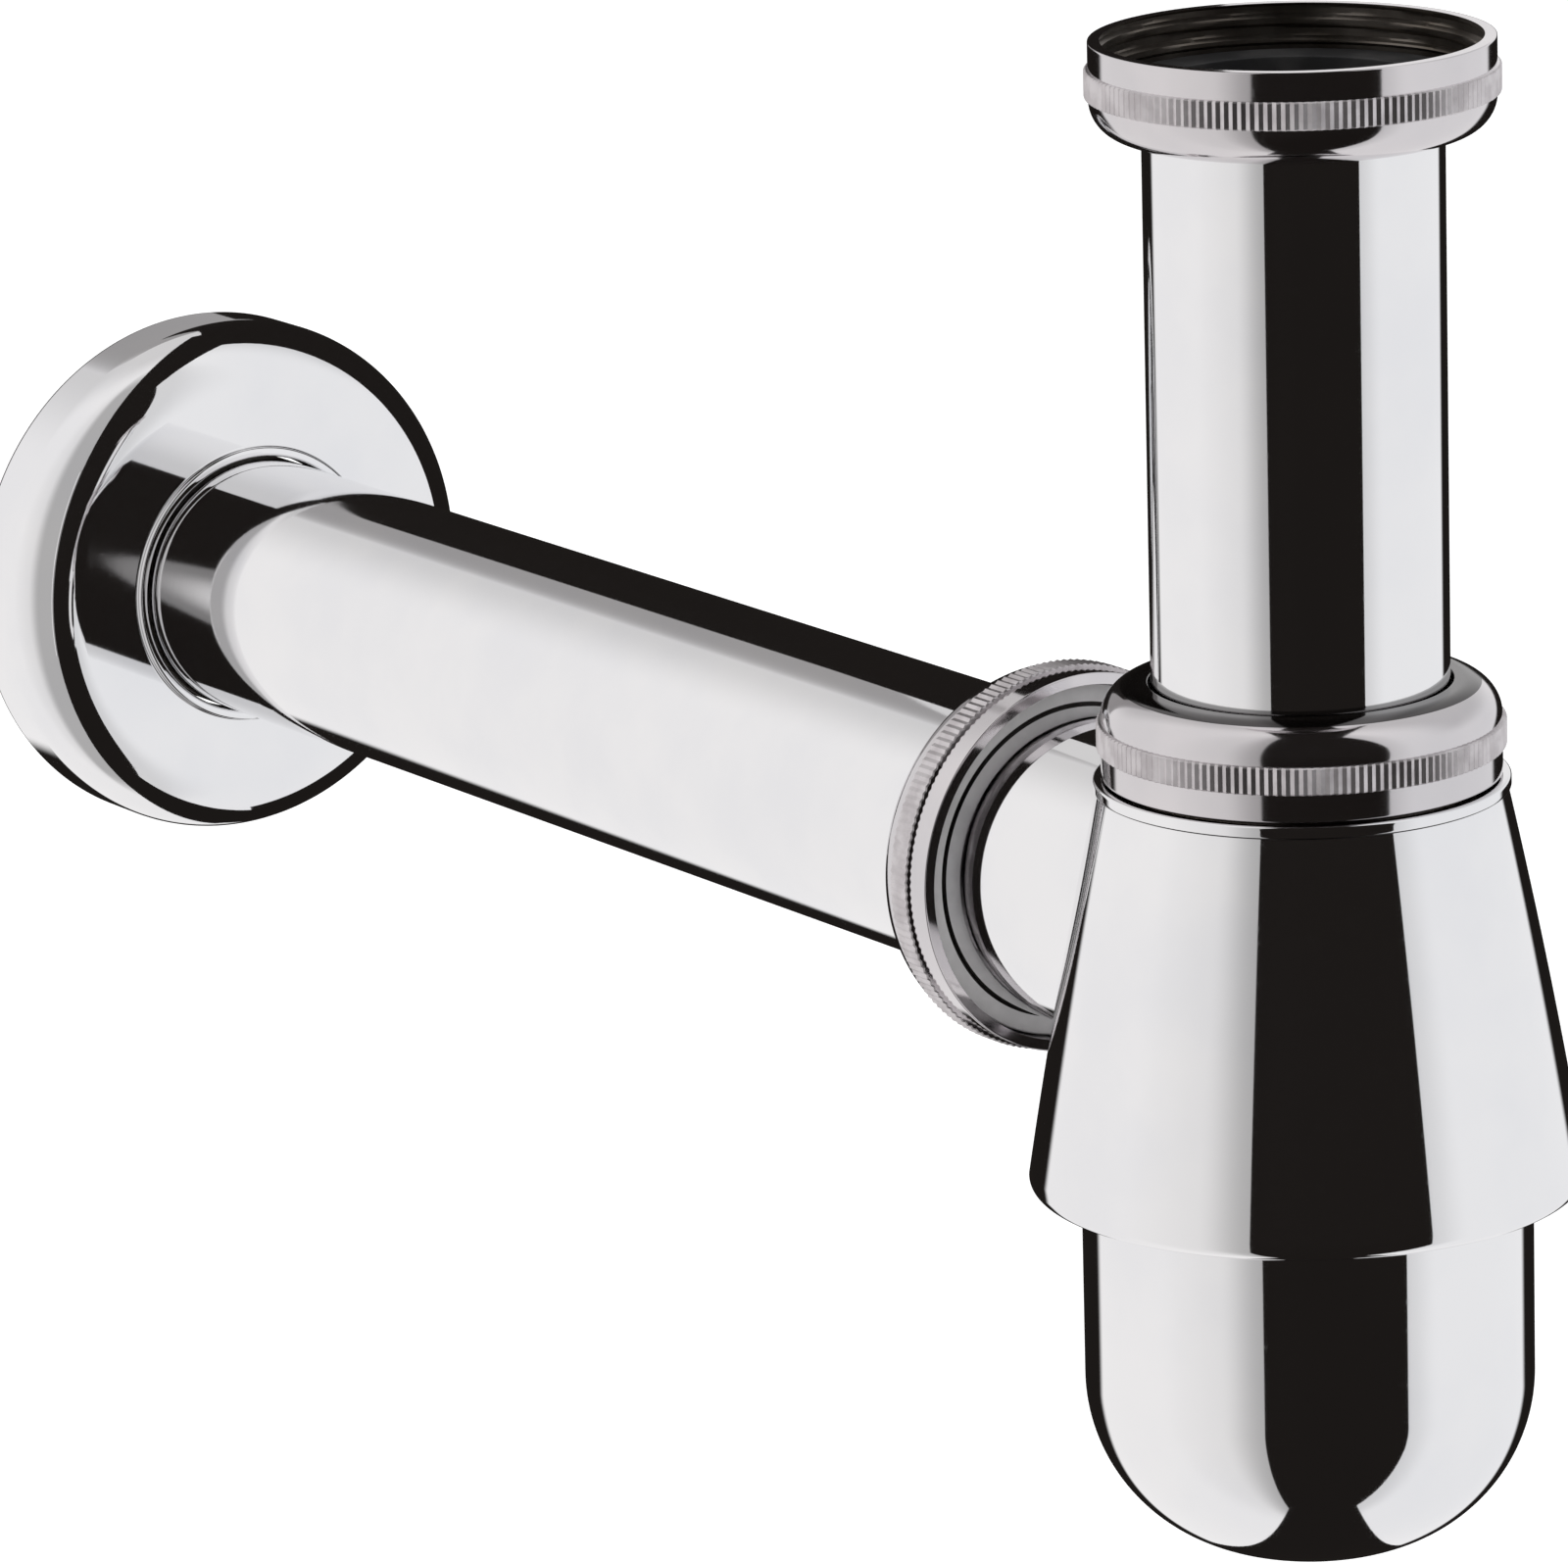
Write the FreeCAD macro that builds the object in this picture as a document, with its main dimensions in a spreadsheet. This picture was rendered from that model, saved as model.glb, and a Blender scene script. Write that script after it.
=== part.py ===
import FreeCAD, Part
import math
import os
import re

import Sketcher

# Bottle trap in chromed brass, in millimetres.
# The origin is the centre of the inlet nut's open mouth, +Z is up and +Y runs along the outlet to the wall.

doc = FreeCAD.newDocument("bottle_trap")
sheet = doc.addObject("Spreadsheet::Sheet", "Sizes")

driving_sizes = [
    # Inlet tube and outlet pipe
    ("tube_diameter", 32.0, "outside of the inlet tube"),
    ("tube_wall", 1.2, "wall of the inlet tube"),
    ("collar_clearance", 0.7, "radial room round the collar at the tube's top"),
    ("collar_thickness", 1.5, "thickness of that collar"),
    ("washer_thickness", 2.0, "flat washer on the collar"),
    ("dip_gap", 19.2, "cup's lowest point up to the tube's lower end"),
    ("pipe_diameter", 32.0, "outside of the outlet pipe"),
    ("pipe_wall", 1.2, "wall of the outlet pipe"),
    ("pipe_length", 218.0, "outlet pipe from end to end"),
    ("pipe_stand_off", 5.4, "stop in the branch to the pipe's inner end"),
    ("pipe_tail", 19.9, "pipe that goes into the wall behind the flange"),
    ("pipe_chamfer", 0.4, "broken edge at the ends of tube and pipe"),
    ("slide_clearance", 0.3, "radial room round the tube and the pipe"),
    # Three equal nuts
    ("nut_flat", 1.2, "flat ring of a nut's shoulder, round the tube"),
    ("nut_round", 4.0, "rounding of the shoulder"),
    ("nut_wall", 1.3, "wall of a nut round its thread"),
    ("nut_shoulder", 1.9, "thickness of the shoulder"),
    ("nut_rim", 3.0, "smooth rim at a nut's open end"),
    ("nut_edge", 0.15, "broken edge of that rim"),
    ("knurl_length", 3.0, "width of the grip band"),
    ("knurl_rise", 0.45, "grip band above the smooth nut"),
    ("knurl_chamfer", 0.15, "broken edges of the grip band"),
    ("knurl_land", 0.2, "smooth step between the grip band and the rounding"),
    ("relief_length", 3.7, "plain bore between a nut's thread and its shoulder"),
    ("relief_depth", 0.35, "that bore outside the thread"),
    ("relief_chamfer", 0.6, "chamfer where that bore meets the shoulder"),
    ("thread_clearance", 0.25, "radial room between the two halves of a thread"),
    ("thread_chamfer", 0.5, "chamfer at the start of an outside thread"),
    ("nut_gap", 0.25, "room between a tightened nut and the ring below it"),
    # Seal under a nut
    ("slip_ring_thickness", 1.1, "hard ring between the nut and the seal"),
    ("ring_clearance", 0.5, "radial room round the hard ring and the seal"),
    ("seal_flange", 1.5, "flat part of the seal"),
    ("mouth_land", 1.35, "flat mouth outside the seat of the seal"),
    ("nose_tip", 0.3, "flat tip of the seal's taper"),
    ("seat_clearance", 0.2, "room between the taper and its seat"),
    ("stack_clearance", 0.1, "room between the nut's shoulder and the hard ring"),
    # Trap body
    ("neck_drop", 79.9, "inlet mouth down to the top of the body's ring"),
    ("neck_step", 2.05, "neck's thread out to the top of the cone"),
    ("ring_lip", 0.1, "flat underside of the ring at the top of the cone"),
    ("ring_side", 0.8, "straight side of that ring"),
    ("ring_round", 0.3, "rounded edges of that ring"),
    ("cone_side_radius", 700.0, "slight bow of the cone's side"),
    ("skirt_margin", 5.65, "cup's outside to the widest part of the cone"),
    ("skirt_round", 1.1, "rounded lower edge of the cone"),
    ("skirt_edge", 2.0, "width of that edge"),
    ("skirt_relief", 3.8, "skirt's edge up to the cup's thread"),
    ("body_wall", 2.0, "wall of the chamber"),
    ("neck_roof", 3.6, "ring's top down to the chamber"),
    ("ledge_width", 2.6, "ledge that the cup's gasket bears on"),
    ("ledge_thickness", 1.3, "thickness of that ledge"),
    # Outlet branch
    ("sill_height", 0.3, "ledge up to the lowest point of the outlet hole"),
    ("stop_step", 3.3, "stop for the pipe round the outlet hole"),
    ("stop_wall", 1.6, "wall between the cup's thread and the branch's socket"),
    ("branch_wall", 1.3, "wall of the branch"),
    ("branch_margin", 0.7, "branch up to the top of the body's ring"),
    ("stub_length", 10.0, "widest part of the cone to the outlet nut"),
    ("thread_recess", 1.8, "nut's open end in to the branch's thread"),
    # Cup
    ("cup_margin", 8.45, "inlet tube's outside to the cup's outside"),
    ("cup_wall", 1.2, "wall of the cup"),
    ("cup_side", 24.8, "straight side of the cup under its thread"),
    ("knuckle_inset", 5.05, "axis to the centre of the bottom's side rounding"),
    ("crown_rise", 13.3, "that centre up to the centre of the bottom's crown"),
    ("cup_thread_inset", 0.55, "cup's outside in to its thread"),
    ("cup_thread_length", 7.7, "cup's rim down to its full diameter"),
    ("cup_rim_wall", 1.7, "wall of the cup behind its thread"),
    ("cup_gap", 0.5, "room under the body's thread"),
    ("gasket_thickness", 1.5, "flat gasket on the cup's rim"),
    ("gasket_clearance", 0.4, "radial room round that gasket"),
    # Wall flange
    ("flange_face", 8.1, "flat face of the wall flange, from its lip to the rounding"),
    ("flange_round", 7.0, "rounding from the face to the side"),
    ("flange_side", 6.5, "straight side from the rounding to the wall"),
    ("flange_wall", 0.9, "sheet of the flange"),
    ("lip_width", 1.2, "lip round the pipe"),
    ("lip_side", 0.1, "straight side of the lip under its rounding"),
    ("lip_depth", 3.0, "sleeve behind the lip"),
]

aliases = set()
for row, (alias, size, note) in enumerate(driving_sizes, start=1):
    sheet.set(f"A{row}", note)
    sheet.set(f"B{row}", str(size))
    sheet.setAlias(f"B{row}", alias)
    aliases.add(alias)
doc.recompute()

# Sizes that follow from the driving ones, as expressions of them
tube_radius = "(tube_diameter / 2)"
tube_bore = f"({tube_radius} - tube_wall)"
tube_passage = f"({tube_radius} + slide_clearance)"
pipe_radius = "(pipe_diameter / 2)"
pipe_bore = f"({pipe_radius} - pipe_wall)"
pipe_passage = f"({pipe_radius} + slide_clearance)"

nut_length = "(nut_rim + knurl_length + knurl_land + nut_round)"
nut_depth = f"({nut_length} - nut_shoulder)"
bore_margin = "(nut_flat + nut_round - nut_wall)"
thread_margin = f"({bore_margin} - thread_clearance)"
stack_margin = f"({bore_margin} - ring_clearance)"
seal_seat = f"({thread_margin} - mouth_land)"
seal_root = f"({seal_seat} - seat_clearance)"
seal_nose = f"({seal_root} - nose_tip)"
stack_height = f"({nut_depth} - stack_clearance - slip_ring_thickness - seal_flange)"

cup_radius = f"({tube_radius} + cup_margin)"
cup_bore = f"({cup_radius} - cup_thread_inset)"
cup_rim = "(skirt_relief - cup_gap + cup_thread_length)"
ledge_under = f"({cup_rim} + gasket_thickness)"
ledge_inner = f"({cup_bore} - ledge_width)"
chamber_foot = f"({ledge_under} + ledge_thickness)"
skirt_radius = f"({cup_radius} + skirt_margin)"

hole_radius = f"({pipe_passage} - stop_step)"
branch_radius = f"({pipe_passage} + branch_wall)"
branch_thread = f"({pipe_passage} + {thread_margin})"
outlet_height = f"({chamber_foot} + sill_height + {hole_radius})"
branch_reach = f"({skirt_radius} + stub_length)"
branch_mouth = f"({branch_reach} + {stack_height})"
socket_stop = f"({cup_bore} + stop_wall)"
pipe_start = f"({socket_stop} + pipe_stand_off)"
flange_reach = f"({pipe_start} + pipe_length - pipe_tail)"

neck_radius = f"({tube_passage} + {thread_margin})"
cone_top_radius = f"({neck_radius} + neck_step)"
ring_radius = f"({cone_top_radius} + ring_lip + ring_round)"
ring_top = f"({outlet_height} + {branch_radius} + branch_margin)"
cone_height = f"({ring_top} - ring_side - 2 * ring_round)"
neck_length = f"(nut_gap + {stack_height})"
neck_top = f"({ring_top} + {neck_length})"
body_drop = f"(neck_drop + {ring_top})"
outlet_drop = f"({body_drop} - {outlet_height})"

# The two arcs of the cup's bottom meet where the line through their centres leaves them
knuckle = f"({cup_radius} - knuckle_inset)"
centre_distance = "sqrt(knuckle_inset * knuckle_inset + crown_rise * crown_rise)"
crown = f"({knuckle} + {centre_distance})"
dome_height = f"({crown} - crown_rise)"
thread_foot = f"({dome_height} + cup_side)"
cup_height = f"({thread_foot} + cup_thread_length)"
cup_drop = f"({body_drop} - {cup_rim} + {cup_height})"


def bound(expression):
    """The expression with each size named as a cell of the sheet."""
    def cell(match):
        word = match.group(0)
        return f"Sizes.{word}" if word in aliases else word
    return re.sub(r"[a-z_]+", cell, expression)


def measure(expression):
    """The expression's present value."""
    return float(sheet.evalExpression(bound(expression)))


def short_arc(start, end, radius, side):
    """The short arc of that radius between two points, bowed to the left (+1) or right (-1) of the way."""
    chord = end - start
    half = chord.Length / 2
    rise = math.sqrt(max(radius * radius - half * half, 0.0))
    left = FreeCAD.Vector(-chord.y, chord.x, 0).normalize()
    centre = (start + end) * 0.5 - left * (rise * side)
    circle = Part.Circle(centre, FreeCAD.Vector(0, 0, 1), radius)
    first, last = (end, start) if side > 0 else (start, end)
    return Part.ArcOfCircle(circle, circle.parameter(first), circle.parameter(last))


def section(body, name, plane_role, corners, axis_height=None):
    """A closed sketch through corners (across, along), each bound to the sheet.

    A third item in a corner, (radius, side), makes the stretch to the next corner an arc.
    With axis_height, a construction line at that height is the axis to turn the sketch about.
    """
    sketch = body.newObject("Sketcher::SketchObject", name)
    planes = [feature for feature in body.Origin.OriginFeatures if feature.Role == plane_role]
    sketch.AttachmentSupport = [(planes[0], "")]
    sketch.MapMode = "FlatFace"
    places = [FreeCAD.Vector(measure(corner[0]), measure(corner[1]), 0) for corner in corners]
    count = len(corners)
    starts = []
    ends = []
    for index, corner in enumerate(corners):
        start = places[index]
        end = places[(index + 1) % count]
        if len(corner) == 2:
            sketch.addGeometry(Part.LineSegment(start, end))
            starts.append(1)
            ends.append(2)
            continue
        radius, side = corner[2]
        sketch.addGeometry(short_arc(start, end, measure(radius), side))
        starts.append(2 if side > 0 else 1)
        ends.append(1 if side > 0 else 2)
        index_radius = sketch.addConstraint(Sketcher.Constraint("Radius", index, measure(radius)))
        sketch.setExpression(f"Constraints[{index_radius}]", bound(radius))
    for index in range(count):
        after = (index + 1) % count
        sketch.addConstraint(Sketcher.Constraint("Coincident", index, ends[index], after, starts[after]))
    for index, corner in enumerate(corners):
        for kind, axis, expression in (("DistanceX", -2, corner[0]), ("DistanceY", -1, corner[1])):
            if expression == "0":
                sketch.addConstraint(Sketcher.Constraint("PointOnObject", index, starts[index], axis))
                continue
            value = measure(expression)
            place = sketch.addConstraint(Sketcher.Constraint(kind, -1, 1, index, starts[index], value))
            sketch.setExpression(f"Constraints[{place}]", bound(expression))
    if axis_height is not None:
        height = measure(axis_height)
        reach = max(place.x for place in places)
        line = Part.LineSegment(FreeCAD.Vector(0, height, 0), FreeCAD.Vector(reach, height, 0))
        axis_line = sketch.addGeometry(line, True)
        sketch.addConstraint(Sketcher.Constraint("Horizontal", axis_line))
        sketch.addConstraint(Sketcher.Constraint("PointOnObject", axis_line, 1, -2))
        place = sketch.addConstraint(Sketcher.Constraint("DistanceY", -1, 1, axis_line, 1, height))
        sketch.setExpression(f"Constraints[{place}]", bound(axis_height))
        place = sketch.addConstraint(Sketcher.Constraint("DistanceX", -1, 1, axis_line, 2, reach))
    return sketch


def turned(body, name, sketch, kind="PartDesign::Revolution", axis="V_Axis"):
    """A full turn of the sketch, added or cut away."""
    feature = body.newObject(kind, name)
    feature.Profile = sketch
    feature.ReferenceAxis = (sketch, [axis])
    feature.Angle = 360
    sketch.Visibility = False
    doc.recompute()
    return feature


def new_body(label):
    body = doc.addObject("PartDesign::Body", label)
    body.Label = label
    return body


def turned_body(label, corners):
    """A body that is one turned profile about its own Z axis."""
    body = new_body(label)
    turned(body, f"{label}_turn", section(body, f"{label}_profile", "XZ_Plane", corners))
    return body


def place(body, tilt=0, along_y=None, along_z=None):
    """Tilts the body about X and binds its place to the sheet."""
    body.Placement = FreeCAD.Placement(FreeCAD.Vector(), FreeCAD.Rotation(FreeCAD.Vector(1, 0, 0), tilt))
    if along_y is not None:
        body.setExpression("Placement.Base.y", bound(along_y))
    if along_z is not None:
        body.setExpression("Placement.Base.z", bound(along_z))


upright = 0
upside_down = 180
towards_wall = -90
away_from_wall = 90
convex = -1
hollow = 1


def union_nut(label, passage):
    """Nut with a threaded mouth at z = 0, a raised grip band and a rounded shoulder round the passage."""
    bore = f"({passage} + {bore_margin})"
    outside = f"({bore} + nut_wall)"
    grip = f"({outside} + knurl_rise)"
    band_end = "(nut_rim + knurl_length)"
    return turned_body(label, [
        (bore, "0"),
        (f"{outside} - nut_edge", "0"),
        (outside, "nut_edge"),
        (outside, "nut_rim"),
        (f"{grip} - knurl_chamfer", "nut_rim"),
        (grip, "nut_rim + knurl_chamfer"),
        (grip, f"{band_end} - knurl_chamfer"),
        (f"{grip} - knurl_chamfer", band_end),
        (outside, band_end),
        (outside, f"{band_end} + knurl_land", ("nut_round", convex)),
        (f"{outside} - nut_round", nut_length),
        (passage, nut_length),
        (passage, nut_depth),
        (f"{bore} + relief_depth - relief_chamfer", nut_depth),
        (f"{bore} + relief_depth", f"{nut_depth} - relief_chamfer"),
        (f"{bore} + relief_depth", f"{nut_depth} - relief_length"),
        (bore, f"{nut_depth} - relief_length - relief_depth"),
    ])


def slip_ring(label, passage):
    """Hard ring that lets the nut turn without dragging the seal."""
    return turned_body(label, [
        (passage, "0"),
        (f"{passage} + {stack_margin}", "0"),
        (f"{passage} + {stack_margin}", "slip_ring_thickness"),
        (passage, "slip_ring_thickness"),
    ])


def taper_seal(label, passage):
    """Rubber ring: a flat flange over the mouth and a tapered nose in its seat."""
    return turned_body(label, [
        (passage, "0"),
        (f"{passage} + nose_tip", "0"),
        (f"{passage} + {seal_root}", seal_nose),
        (f"{passage} + {stack_margin}", seal_nose),
        (f"{passage} + {stack_margin}", f"{seal_nose} + seal_flange"),
        (passage, f"{seal_nose} + seal_flange"),
    ])


# Inlet: nut, washer and the tube that dips into the cup
inlet_nut = union_nut("inlet_union_nut", tube_passage)
place(inlet_nut, upside_down)

collar_radius = f"({tube_passage} + {bore_margin} - collar_clearance)"
tube_top = f"({nut_depth} - collar_thickness)"
tube_length = f"({cup_drop} - dip_gap - {tube_top})"
collar_under = f"({tube_length} - collar_thickness)"
inlet_tube = turned_body("inlet_tube", [
    (tube_bore, "0"),
    (f"{tube_radius} - pipe_chamfer", "0"),
    (tube_radius, "pipe_chamfer"),
    (tube_radius, collar_under),
    (collar_radius, collar_under),
    (collar_radius, tube_length),
    (tube_bore, tube_length),
])
place(inlet_tube, upright, along_z=f"-({cup_drop} - dip_gap)")

inlet_washer = turned_body("inlet_washer", [
    (tube_bore, "0"),
    (collar_radius, "0"),
    (collar_radius, "washer_thickness"),
    (tube_bore, "washer_thickness"),
])
place(inlet_washer, upright, along_z=f"-{tube_top}")

# Nut, hard ring and seal on the neck of the body
body_nut = union_nut("body_nut", tube_passage)
place(body_nut, upright, along_z="-(neck_drop - nut_gap)")

body_slip_ring = slip_ring("body_slip_ring", tube_passage)
place(body_slip_ring, upright, along_z=f"-(neck_drop - {neck_length} - seal_flange)")

body_seal = taper_seal("body_seal", tube_passage)
place(body_seal, upright, along_z=f"-(neck_drop - {neck_length} + {seal_nose})")

# Trap body: cone, ring and neck in one casting with the outlet branch.
# Its own z = 0 is the skirt's lower edge.
trap_body = new_body("trap_body")
outside = section(trap_body, "cone_and_neck_profile", "XZ_Plane", [
    ("0", "0"),
    (f"{skirt_radius} - skirt_round", "0", ("skirt_round", convex)),
    (skirt_radius, "skirt_round", ("cone_side_radius", convex)),
    (cone_top_radius, cone_height),
    (f"{ring_radius} - ring_round", cone_height, ("ring_round", convex)),
    (ring_radius, f"{cone_height} + ring_round"),
    (ring_radius, f"{ring_top} - ring_round", ("ring_round", convex)),
    (f"{ring_radius} - ring_round", ring_top),
    (neck_radius, ring_top),
    (neck_radius, f"{neck_top} - thread_chamfer"),
    (f"{neck_radius} - thread_chamfer", neck_top),
    ("0", neck_top),
])
turned(trap_body, "cone_and_neck", outside)

branch_outside = section(trap_body, "branch_profile", "YZ_Plane", [
    ("0", outlet_height),
    (branch_mouth, outlet_height),
    (branch_mouth, f"{outlet_height} + {branch_thread} - thread_chamfer"),
    (f"{branch_mouth} - thread_chamfer", f"{outlet_height} + {branch_thread}"),
    (f"{branch_reach} + thread_recess", f"{outlet_height} + {branch_thread}"),
    (f"{branch_reach} + thread_recess", f"{outlet_height} + {branch_radius}"),
    ("0", f"{outlet_height} + {branch_radius}"),
], axis_height=outlet_height)
turned(trap_body, "branch", branch_outside, axis="Axis0")

# Chamber, neck bore, gasket ledge and cup thread, cut in one turn
cone_slope = f"(({skirt_radius} - {cone_top_radius}) / {cone_height})"
chamber_top = f"({ring_top} - neck_roof)"
inside = section(trap_body, "chamber_profile", "XZ_Plane", [
    ("0", "0"),
    (f"{skirt_radius} - skirt_edge", "0"),
    (f"{cup_radius} + cup_gap", "skirt_relief"),
    (cup_bore, "skirt_relief"),
    (cup_bore, ledge_under),
    (ledge_inner, ledge_under),
    (ledge_inner, chamber_foot),
    (f"{skirt_radius} - {chamber_foot} * {cone_slope} - body_wall", chamber_foot),
    (f"{skirt_radius} - {chamber_top} * {cone_slope} - body_wall", chamber_top),
    (tube_passage, chamber_top),
    (tube_passage, f"{neck_top} - {seal_seat}"),
    (f"{tube_passage} + {seal_seat}", neck_top),
    ("0", neck_top),
])
turned(trap_body, "chamber", inside, "PartDesign::Groove")

socket = section(trap_body, "socket_profile", "YZ_Plane", [
    ("0", outlet_height),
    (branch_mouth, outlet_height),
    (branch_mouth, f"{outlet_height} + {pipe_passage} + {seal_seat}"),
    (f"{branch_mouth} - {seal_seat}", f"{outlet_height} + {pipe_passage}"),
    (socket_stop, f"{outlet_height} + {pipe_passage}"),
    (socket_stop, f"{outlet_height} + {hole_radius}"),
    ("0", f"{outlet_height} + {hole_radius}"),
], axis_height=outlet_height)
turned(trap_body, "socket", socket, "PartDesign::Groove", "Axis0")
place(trap_body, upright, along_z=f"-{body_drop}")

# Nut, hard ring, seal and pipe on the outlet branch
outlet_nut = union_nut("outlet_nut", pipe_passage)
place(outlet_nut, towards_wall, branch_reach, f"-{outlet_drop}")

outlet_slip_ring = slip_ring("outlet_slip_ring", pipe_passage)
place(outlet_slip_ring, towards_wall, f"{branch_mouth} + seal_flange", f"-{outlet_drop}")

outlet_seal = taper_seal("outlet_seal", pipe_passage)
place(outlet_seal, towards_wall, f"{branch_mouth} - {seal_nose}", f"-{outlet_drop}")

outlet_pipe = turned_body("outlet_pipe", [
    (pipe_bore, "0"),
    (f"{pipe_radius} - pipe_chamfer", "0"),
    (pipe_radius, "pipe_chamfer"),
    (pipe_radius, "pipe_length - pipe_chamfer"),
    (f"{pipe_radius} - pipe_chamfer", "pipe_length"),
    (pipe_bore, "pipe_length"),
])
place(outlet_pipe, towards_wall, pipe_start, f"-{outlet_drop}")

# Wall flange: a pressed cap with a lip round the pipe, open at the wall where its own z = 0 lies
flange_depth = "(flange_side + flange_round)"
lip_outside = f"({pipe_passage} + lip_width)"
lip_front = f"({flange_depth} + lip_side + lip_width / 2)"
face_edge = f"({lip_outside} + flange_face)"
flange_radius = f"({face_edge} + flange_round)"
inner_round = "(flange_round - flange_wall)"
wall_flange = turned_body("wall_flange", [
    (f"{flange_radius} - flange_wall", "0"),
    (flange_radius, "0"),
    (flange_radius, "flange_side", ("flange_round", convex)),
    (face_edge, flange_depth),
    (lip_outside, flange_depth),
    (lip_outside, f"{flange_depth} + lip_side", ("lip_width / 2", convex)),
    (f"{lip_outside} - lip_width / 2", lip_front, ("lip_width / 2", convex)),
    (pipe_passage, f"{flange_depth} + lip_side"),
    (pipe_passage, f"{flange_depth} - lip_depth"),
    (f"{pipe_passage} + flange_wall", f"{flange_depth} - lip_depth"),
    (f"{pipe_passage} + flange_wall", f"{flange_depth} - flange_wall"),
    (face_edge, f"{flange_depth} - flange_wall", (inner_round, hollow)),
    (f"{flange_radius} - flange_wall", "flange_side"),
])
place(wall_flange, away_from_wall, flange_reach, f"-{outlet_drop}")

# Cup: a pressed bowl with a threaded rim. Its own z = 0 is the lowest point.
meeting_across = f"knuckle_inset / {centre_distance}"
meeting_down = f"crown_rise / {centre_distance}"
inner_knuckle = f"({knuckle} - cup_wall)"
inner_crown = f"({crown} - cup_wall)"
male_thread = f"({cup_bore} - thread_clearance)"
rim_inner = f"({male_thread} - cup_rim_wall)"
side_inner = f"({cup_radius} - cup_wall)"
cup = turned_body("cup", [
    ("0", "0", (crown, convex)),
    (f"{crown} * {meeting_across}", f"{crown} * (1 - {meeting_down})", (knuckle, convex)),
    (cup_radius, dome_height),
    (cup_radius, f"{thread_foot} - nut_edge"),
    (f"{cup_radius} - nut_edge", thread_foot),
    (male_thread, thread_foot),
    (male_thread, f"{cup_height} - thread_chamfer"),
    (f"{male_thread} - thread_chamfer", cup_height),
    (rim_inner, cup_height),
    (rim_inner, thread_foot),
    (side_inner, f"{thread_foot} - ({side_inner} - {rim_inner})"),
    (side_inner, dome_height, (inner_knuckle, hollow)),
    (f"{inner_crown} * {meeting_across}", f"{crown} - {inner_crown} * {meeting_down}", (inner_crown, hollow)),
    ("0", "cup_wall"),
])
place(cup, upright, along_z=f"-{cup_drop}")

cup_gasket = turned_body("cup_gasket", [
    (f"{ledge_inner} + gasket_clearance", "0"),
    (f"{cup_bore} - gasket_clearance", "0"),
    (f"{cup_bore} - gasket_clearance", "gasket_thickness"),
    (f"{ledge_inner} + gasket_clearance", "gasket_thickness"),
])
place(cup_gasket, upright, along_z=f"-({body_drop} - {cup_rim})")

doc.recompute()

# Every object is sound before anything is written
for item in doc.Objects:
    if "Invalid" in item.State or "Error" in item.State:
        raise RuntimeError(f"{item.Label} failed: {item.State}")

os.makedirs("parts", exist_ok=True)
pieces = [item for item in doc.Objects if item.TypeId == "PartDesign::Body"]
for piece in pieces:
    shape = piece.Shape
    if shape.isNull() or not shape.isValid() or len(shape.Solids) != 1:
        raise RuntimeError(f"{piece.Label} is not one valid solid")
    shape.exportStep(os.path.join("parts", f"{piece.Label}.step"))
    print(piece.Label, round(shape.Volume, 2), shape.BoundBox)
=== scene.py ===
import math

import bpy
from mathutils import Matrix, Vector


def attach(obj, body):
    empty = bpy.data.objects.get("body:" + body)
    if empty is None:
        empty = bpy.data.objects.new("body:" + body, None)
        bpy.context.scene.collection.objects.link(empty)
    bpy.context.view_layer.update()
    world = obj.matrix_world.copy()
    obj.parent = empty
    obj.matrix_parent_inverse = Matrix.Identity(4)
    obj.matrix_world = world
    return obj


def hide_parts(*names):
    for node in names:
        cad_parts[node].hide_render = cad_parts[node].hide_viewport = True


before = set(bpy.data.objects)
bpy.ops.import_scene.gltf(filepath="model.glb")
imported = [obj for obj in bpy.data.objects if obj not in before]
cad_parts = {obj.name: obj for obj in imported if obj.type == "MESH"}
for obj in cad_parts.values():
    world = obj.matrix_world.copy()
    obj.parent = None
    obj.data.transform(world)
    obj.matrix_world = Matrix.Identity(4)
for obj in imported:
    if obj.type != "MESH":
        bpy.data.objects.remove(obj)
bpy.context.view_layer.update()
mm = 0.001
outletHeight = -98.2  # mm, axis of the outlet below the inlet mouth
turnSteps = 256  # faces round a turned piece
cutterSteps = 250  # off the body's own steps, so no edges coincide
ringSteps = 160  # faces round a seal or a flat ring
weldGap = 0.002  # mm
print("frame loaded", len(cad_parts), "nodes")


# Modelling helpers

def deselectAll():
    if bpy.context.object and bpy.context.object.mode != "OBJECT":
        bpy.ops.object.mode_set(mode="OBJECT")
    bpy.ops.object.select_all(action="DESELECT")


def pick(piece):
    deselectAll()
    piece.select_set(True)
    bpy.context.view_layer.objects.active = piece


def clearSelection(piece, kind="VERT"):
    pick(piece)
    bpy.ops.object.mode_set(mode="EDIT")
    bpy.ops.mesh.select_mode(type=kind)
    bpy.ops.mesh.select_all(action="DESELECT")
    bpy.ops.object.mode_set(mode="OBJECT")


def pickOpenEdges(piece, wanted):
    clearSelection(piece, "EDGE")
    uses = {}
    for face in piece.data.polygons:
        for key in face.edge_keys:
            uses[key] = uses.get(key, 0) + 1
    for edge in piece.data.edges:
        ends = [piece.data.vertices[corner].co / mm for corner in edge.vertices]
        edge.select = uses.get(edge.key, 0) == 1 and wanted(ends[0]) and wanted(ends[1])


def arcPoints(centre, radius, startAngle, endAngle, count):
    steps = [startAngle + (endAngle - startAngle) * step / count for step in range(count + 1)]
    return [(centre[0] + radius * math.cos(a), centre[1] + radius * math.sin(a), 0) for a in steps]


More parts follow.
